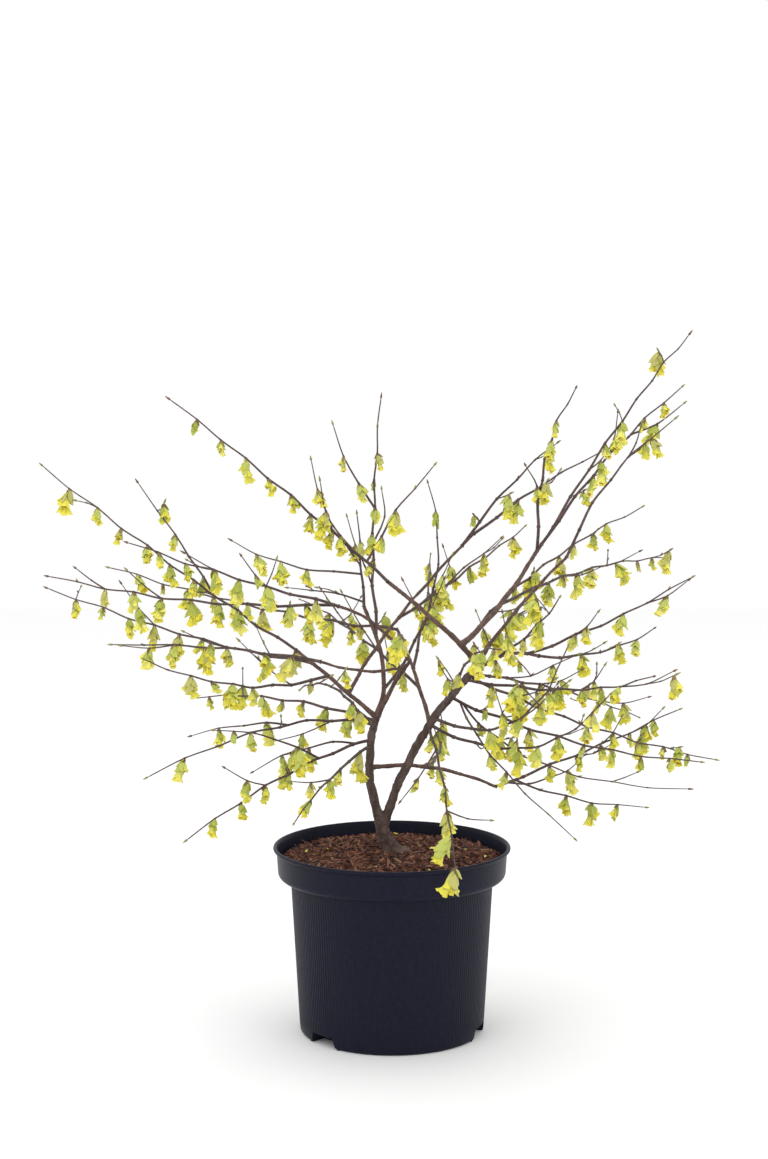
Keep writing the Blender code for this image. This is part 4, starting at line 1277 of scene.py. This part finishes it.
PETAL_SHAPES = [
    blade((0.20, 0.34, 0.43, 0.48, 0.46), (0.10, 0.17, 0.20, 0.22, 0.34), 0.30, -0.06, PETAL_THICKNESS),
    blade((0.20, 0.33, 0.42, 0.50, 0.40), (0.10, 0.16, 0.18, 0.20, 0.26), 0.28, 0.07, PETAL_THICKNESS),
    blade((0.20, 0.35, 0.45, 0.46, 0.50), (0.10, 0.18, 0.21, 0.25, 0.40), 0.26, 0.03, PETAL_THICKNESS),
]
BRACT_SHAPES = [
    blade((0.22, 0.62, 0.72, 0.34), (0.06, 0.22, 0.25, 0.22), 0.42, 0.12, BRACT_THICKNESS),
    blade((0.22, 0.56, 0.60, 0.26), (0.06, 0.20, 0.26, 0.30), 0.40, 0.14, BRACT_THICKNESS),
]
SCALE_SHAPE = blade((0.30, 0.66, 0.50, 0.12), (0.04, 0.20, 0.22, 0.16), 0.45, 0.12, SCALE_THICKNESS)
print([len(faces) for _, faces in PETAL_SHAPES + BRACT_SHAPES + [SCALE_SHAPE]], "faces in the blades")


# %% Anthers and buds
def pointed_bud(segments, rings, belly, tip):
    """A small bud one unit long, hanging from its foot: a ball drawn out to a point."""
    deselect()
    bpy.ops.mesh.primitive_uv_sphere_add(segments=segments, ring_count=rings, radius=0.5,
                                         location=(0.0, 0.0, -0.5))
    bud = bpy.context.object
    bud.scale = (belly, belly, 1.0)
    settle(bud)
    open_mesh(bud)
    pick(bud, lambda place: -0.95 < place.z < -0.6)
    bpy.ops.transform.resize(value=(tip, tip, 1.0), center_override=(0.0, 0.0, -0.8))
    close_mesh()
    return shape_of(bud)


BUD_SHAPE = pointed_bud(6, 5, 0.5, 0.6)
ANTHER_SHAPE = pointed_bud(5, 4, 0.42, 1.05)
print(len(BUD_SHAPE[1]), "faces in a bud,", len(ANTHER_SHAPE[1]), "in an anther")

# %% Tones of the flowers
PETAL_TONES = [(0.800, 0.715, 0.065), (0.850, 0.785, 0.150), (0.740, 0.680, 0.075)]
THROAT_TONES = [(0.640, 0.650, 0.085), (0.680, 0.680, 0.140), (0.540, 0.570, 0.075)]
BRACT_TONES = [(0.380, 0.425, 0.060), (0.490, 0.530, 0.105), (0.470, 0.455, 0.120)]
SCALE_TONES = [(0.150, 0.095, 0.035), (0.230, 0.180, 0.055)]
BUD_TONES = [(0.200, 0.225, 0.045), (0.140, 0.070, 0.040), (0.250, 0.230, 0.060)]


def soft_finish(name, colour, roughness=0.5, light_through=0.25):
    """A thin living skin: plain colour, faint veins in the bump, and some light through it."""
    material = finish(name, colour, roughness, grain=0.0016, bump=0.18, spread=0.08,
                      stretch=(1, 1, 0.3), depth=0.0003)
    shader = material.node_tree.nodes["Principled BSDF"]
    shader.inputs["Subsurface Weight"].default_value = light_through
    shader.inputs["Subsurface Radius"].default_value = (1.0, 0.8, 0.2)
    shader.inputs["Subsurface Scale"].default_value = 0.002
    return material


def soft_finishes(name, colours, *looks):
    """One finish for each colour, numbered from 1."""
    return [soft_finish(f"{name}_{number + 1}", colour, *looks) for number, colour in enumerate(colours)]


PETAL_FINISHES = soft_finishes("petal", PETAL_TONES) + soft_finishes("petal_throat", THROAT_TONES)
BRACT_FINISHES = soft_finishes("bract", BRACT_TONES, 0.55)
SCALE_FINISHES = soft_finishes("bud_scale", SCALE_TONES, 0.6, 0.05)
BUD_FINISHES = soft_finishes("bud", BUD_TONES, 0.5, 0.05)
ANTHER_FINISH = soft_finish("anther", (0.560, 0.290, 0.030), 0.7, 0.05)
print("flower finishes")

# %% [markdown]
# ### Putting a cluster together
#
# The parts of a cluster share one hanging line. The scales sit round its top, the bracts round its
# upper half with each turned from the last, and the bells lean out from the middle. All copies go
# into one mesh for each kind of part, or two for the petals, which are the most. Petals and bracts
# have a tone chosen for each cluster, and each scale has its own.

# %% Petals in two tones
THROAT_SHARE = -0.42
DOWN = Vector((0.0, 0.0, -1.0))


def petal_tones(shape, tone):
    """The material of each face of a petal: the throat's tone above, the petal's tone below."""
    corners, faces = shape
    heights = [corners[face][:, 2].mean() for face in faces]
    return [tone + (len(PETAL_TONES) if height > THROAT_SHARE else 0) for height in heights]


def ring_turn(heading, angle, lean):
    """The turn of a blade in a ring round a heading, leaning outwards."""
    aim = DOWN.rotation_difference(heading).to_matrix()
    return aim @ Matrix.Rotation(angle, 3, "Z") @ Matrix.Rotation(lean, 3, "X")


PETAL_CHOICES = [[(shape, petal_tones(shape, tone)) for tone in range(len(PETAL_TONES))]
                 for shape in PETAL_SHAPES]
print(len(PETAL_SHAPES), "petals in", len(PETAL_TONES), "tones each")

# %% One bell
# Lengths and places are shares of the bell's length, and the anther's size is in metres
PETALS = 5
PETAL_JITTER = 0.12
PETAL_LEANS = (-0.05, 0.16)
PETAL_LENGTHS = (0.78, 1.10)
PETAL_BREADTH = 1.05
ANTHER_LEAN = 0.10
ANTHER_DROPS = (0.66, 0.80)
ANTHER_OUT = 0.09
ANTHER_SIZE = (0.0019, 0.0019, 0.0030)


def add_bell(rule, bells, anthers, top, heading, length, tone):
    first = any_angle(rule)
    wide = PETAL_BREADTH * length
    for number in range(PETALS):
        angle = first + number * math.tau / PETALS + rule.uniform(-PETAL_JITTER, PETAL_JITTER)
        turn = ring_turn(heading, angle, rule.uniform(*PETAL_LEANS))
        long = length * rule.uniform(*PETAL_LENGTHS)
        shape, tones = rule.choice(PETAL_CHOICES)[tone]
        bells.add(shape, placed(top, turn, (wide, wide, long)), tones)
    for number in range(PETALS):
        turn = ring_turn(heading, first + (number + 0.5) * math.tau / PETALS, ANTHER_LEAN)
        place = top + heading * length * rule.uniform(*ANTHER_DROPS)
        place = place + turn @ Vector((0.0, ANTHER_OUT * length, 0.0))
        anthers.add(ANTHER_SHAPE, placed(place, turn, ANTHER_SIZE), 0)


# %% One cluster
# Places and sizes along the hanging line are shares of its length, and the rest is in metres
CLUSTER_GROWTH = 1.12
CLUSTER_TILT = 0.22
PETAL_TONE_WEIGHTS = (5, 4, 2)
BRACT_TONE_WEIGHTS = (4, 4, 3)
SCALE_LEANS = (0.15, 0.60)
SCALE_SIZE = (0.0070, 0.0070, 0.0072)
BRACT_COUNTS = (5, 6, 7)
BRACT_START, BRACT_REACH = 0.03, 0.36
BRACT_TURN = 2.3
OPEN_LEANS = (-0.05, 0.60)
CLOSED_LEANS = (-0.05, 0.12)
BRACT_LENGTHS = (0.38, 0.52)
BRACT_WIDTHS = (0.42, 0.60)
CLOSED_CHANCE = 0.22
LONGEST_CLOSED = 0.029
BELL_BARRED = 0.020
SMALL_CLUSTER = 0.019
BELL_COUNTS = (3, 3, 4)
BELL_JITTER = 0.4
BELL_LEANS = (0.10, 0.62)
BELL_START, BELL_REACH = 0.16, 0.36
BELL_LENGTHS = (0.44, 0.56)


def add_bracts(rule, bracts, top, heading, length, first, leans, tone):
    line = heading * length
    count = rule.choice(BRACT_COUNTS)
    for number in range(count):
        place = top + line * (BRACT_START + BRACT_REACH * (number / count))
        turn = ring_turn(heading, first + 1.0 + number * BRACT_TURN, rule.uniform(*leans))
        long = length * rule.uniform(*BRACT_LENGTHS)
        wide = length * rule.uniform(*BRACT_WIDTHS)
        bracts.add(rule.choice(BRACT_SHAPES), placed(place, turn, (wide, wide, long)), tone)


def bells_in(rule, length, closed):
    """How many bells hang out of a cluster of this length."""
    count = 2 if length < SMALL_CLUSTER else rule.choice(BELL_COUNTS)
    if closed:
        return 0 if length < BELL_BARRED else 1
    return count


def add_cluster(rule, pieces, top, tip):
    bells, bracts, scales, anthers = pieces
    length = (tip - top).length * CLUSTER_GROWTH
    tilt = Vector((rule.gauss(0.0, CLUSTER_TILT), rule.gauss(0.0, CLUSTER_TILT), 0.0))
    heading = ((tip - top).normalized() + tilt).normalized()
    line = heading * length
    petal_tone = rule.choices(range(len(PETAL_TONES)), PETAL_TONE_WEIGHTS)[0]
    bract_tone = rule.choices(range(len(BRACT_TONES)), BRACT_TONE_WEIGHTS)[0]
    first = any_angle(rule)
    for number in range(2):
        turn = ring_turn(heading, first + number * math.pi, rule.uniform(*SCALE_LEANS))
        scales.add(SCALE_SHAPE, placed(top, turn, SCALE_SIZE), rule.randrange(len(SCALE_TONES)))
    closed = rule.random() < CLOSED_CHANCE and length < LONGEST_CLOSED
    leans = CLOSED_LEANS if closed else OPEN_LEANS
    add_bracts(rule, bracts, top, heading, length, first, leans, bract_tone)
    bell_count = bells_in(rule, length, closed)
    for number in range(bell_count):
        angle = first + number * math.tau / bell_count + rule.uniform(-BELL_JITTER, BELL_JITTER)
        lean = rule.uniform(*BELL_LEANS)
        aim = (heading + lean * Vector((math.cos(angle), math.sin(angle), 0.0))).normalized()
        place = top + line * (BELL_START + BELL_REACH * number / max(1, bell_count - 1))
        add_bell(rule, bells, anthers, place, aim, length * rule.uniform(*BELL_LENGTHS), petal_tone)


# %% All clusters
left_bells, right_bells, bracts, scales, anthers = [Joined() for _ in range(5)]
for number, (name, centres) in enumerate(CLUSTERS):
    rule = random.Random(f"{name} cluster {number}")
    top, tip = Vector(centres[0]), Vector(centres[-1])
    bells = left_bells if top.x < 0.0 else right_bells
    add_cluster(rule, (bells, bracts, scales, anthers), top, tip)
for copies, name, finishes in (
    (left_bells, "petals_left", PETAL_FINISHES),
    (right_bells, "petals_right", PETAL_FINISHES),
    (bracts, "bracts", BRACT_FINISHES),
    (scales, "bud_scales", SCALE_FINISHES),
    (anthers, "anthers", [ANTHER_FINISH]),
):
    dress(copies.make(name, finishes), name)

# %% [markdown]
# ### Buds and fallen petals
#
# Leaf buds end the shoots and sit at many of the nodes that carry no cluster. A few petals have
# dropped on the mix. Both are shapes made above, copied once more.

# %% Buds
BUD_CHANCE = 0.55
TIP_BUD_WIDTH = 0.0062
TIP_BUD_LENGTHS = (0.0060, 0.0085)
SIDE_BUD_WIDTH = 0.0052
SIDE_BUD_LENGTHS = (0.0042, 0.0062)


def add_bud(rule, buds, place, turn, width, lengths):
    size = (width, width, rule.uniform(*lengths))
    buds.add(BUD_SHAPE, placed(Vector(place), turn, size), rule.randrange(len(BUD_TONES)))


def add_buds():
    buds = Joined()
    taken = {tuple(np.round(centres[0], 5)) for _, centres in CLUSTERS}
    for name, (shoots, _) in grown.items():
        rule = random.Random(name + " buds")
        for points, _ in shoots:
            along = Vector(points[-1] - points[-2]).normalized()
            turn = ring_turn(along, any_angle(rule), 0.0)
            add_bud(rule, buds, points[-1], turn, TIP_BUD_WIDTH, TIP_BUD_LENGTHS)
            for index in range(1, len(points) - 1):
                if rule.random() > BUD_CHANCE or tuple(np.round(points[index], 5)) in taken:
                    continue
                along = Vector(points[index + 1] - points[index]).normalized()
                side = Vector((rule.uniform(-1, 1), rule.uniform(-1, 1), rule.uniform(-0.3, 1.0)))
                turn = ring_turn((along + 0.7 * side).normalized(), 0.0, 0.0)
                add_bud(rule, buds, points[index], turn, SIDE_BUD_WIDTH, SIDE_BUD_LENGTHS)
    return buds.make("buds", BUD_FINISHES)


dress(add_buds(), "buds")

# %% Fallen petals
FALLEN_COUNT = 12
FALLEN_START, FALLEN_REACH = 0.03, 0.09
FALLEN_LIFT = 0.0025
FALLEN_TILT = 0.3
FALLEN_LENGTHS = (0.004, 0.007)


def drop_petals():
    rule = random.Random("fallen")
    fallen = Joined()
    for _ in range(FALLEN_COUNT):
        radius = FALLEN_START + FALLEN_REACH * math.sqrt(rule.random())
        angle = any_angle(rule)
        height = mound_height(radius) + FALLEN_LIFT
        place = (radius * math.cos(angle), radius * math.sin(angle), height)
        turn = Matrix.Rotation(any_angle(rule), 3, "Z")
        lean = math.pi / 2 + rule.uniform(-FALLEN_TILT, FALLEN_TILT)
        turn = turn @ Matrix.Rotation(lean, 3, "X")
        shape, tones = rule.choice(PETAL_CHOICES)[rule.randrange(len(PETAL_TONES))]
        long = rule.uniform(*FALLEN_LENGTHS)
        fallen.add(shape, placed(place, turn, (long, long, long)), tones)
    return fallen.make("fallen_petals", PETAL_FINISHES)


dress(drop_petals(), "fallen_petals")
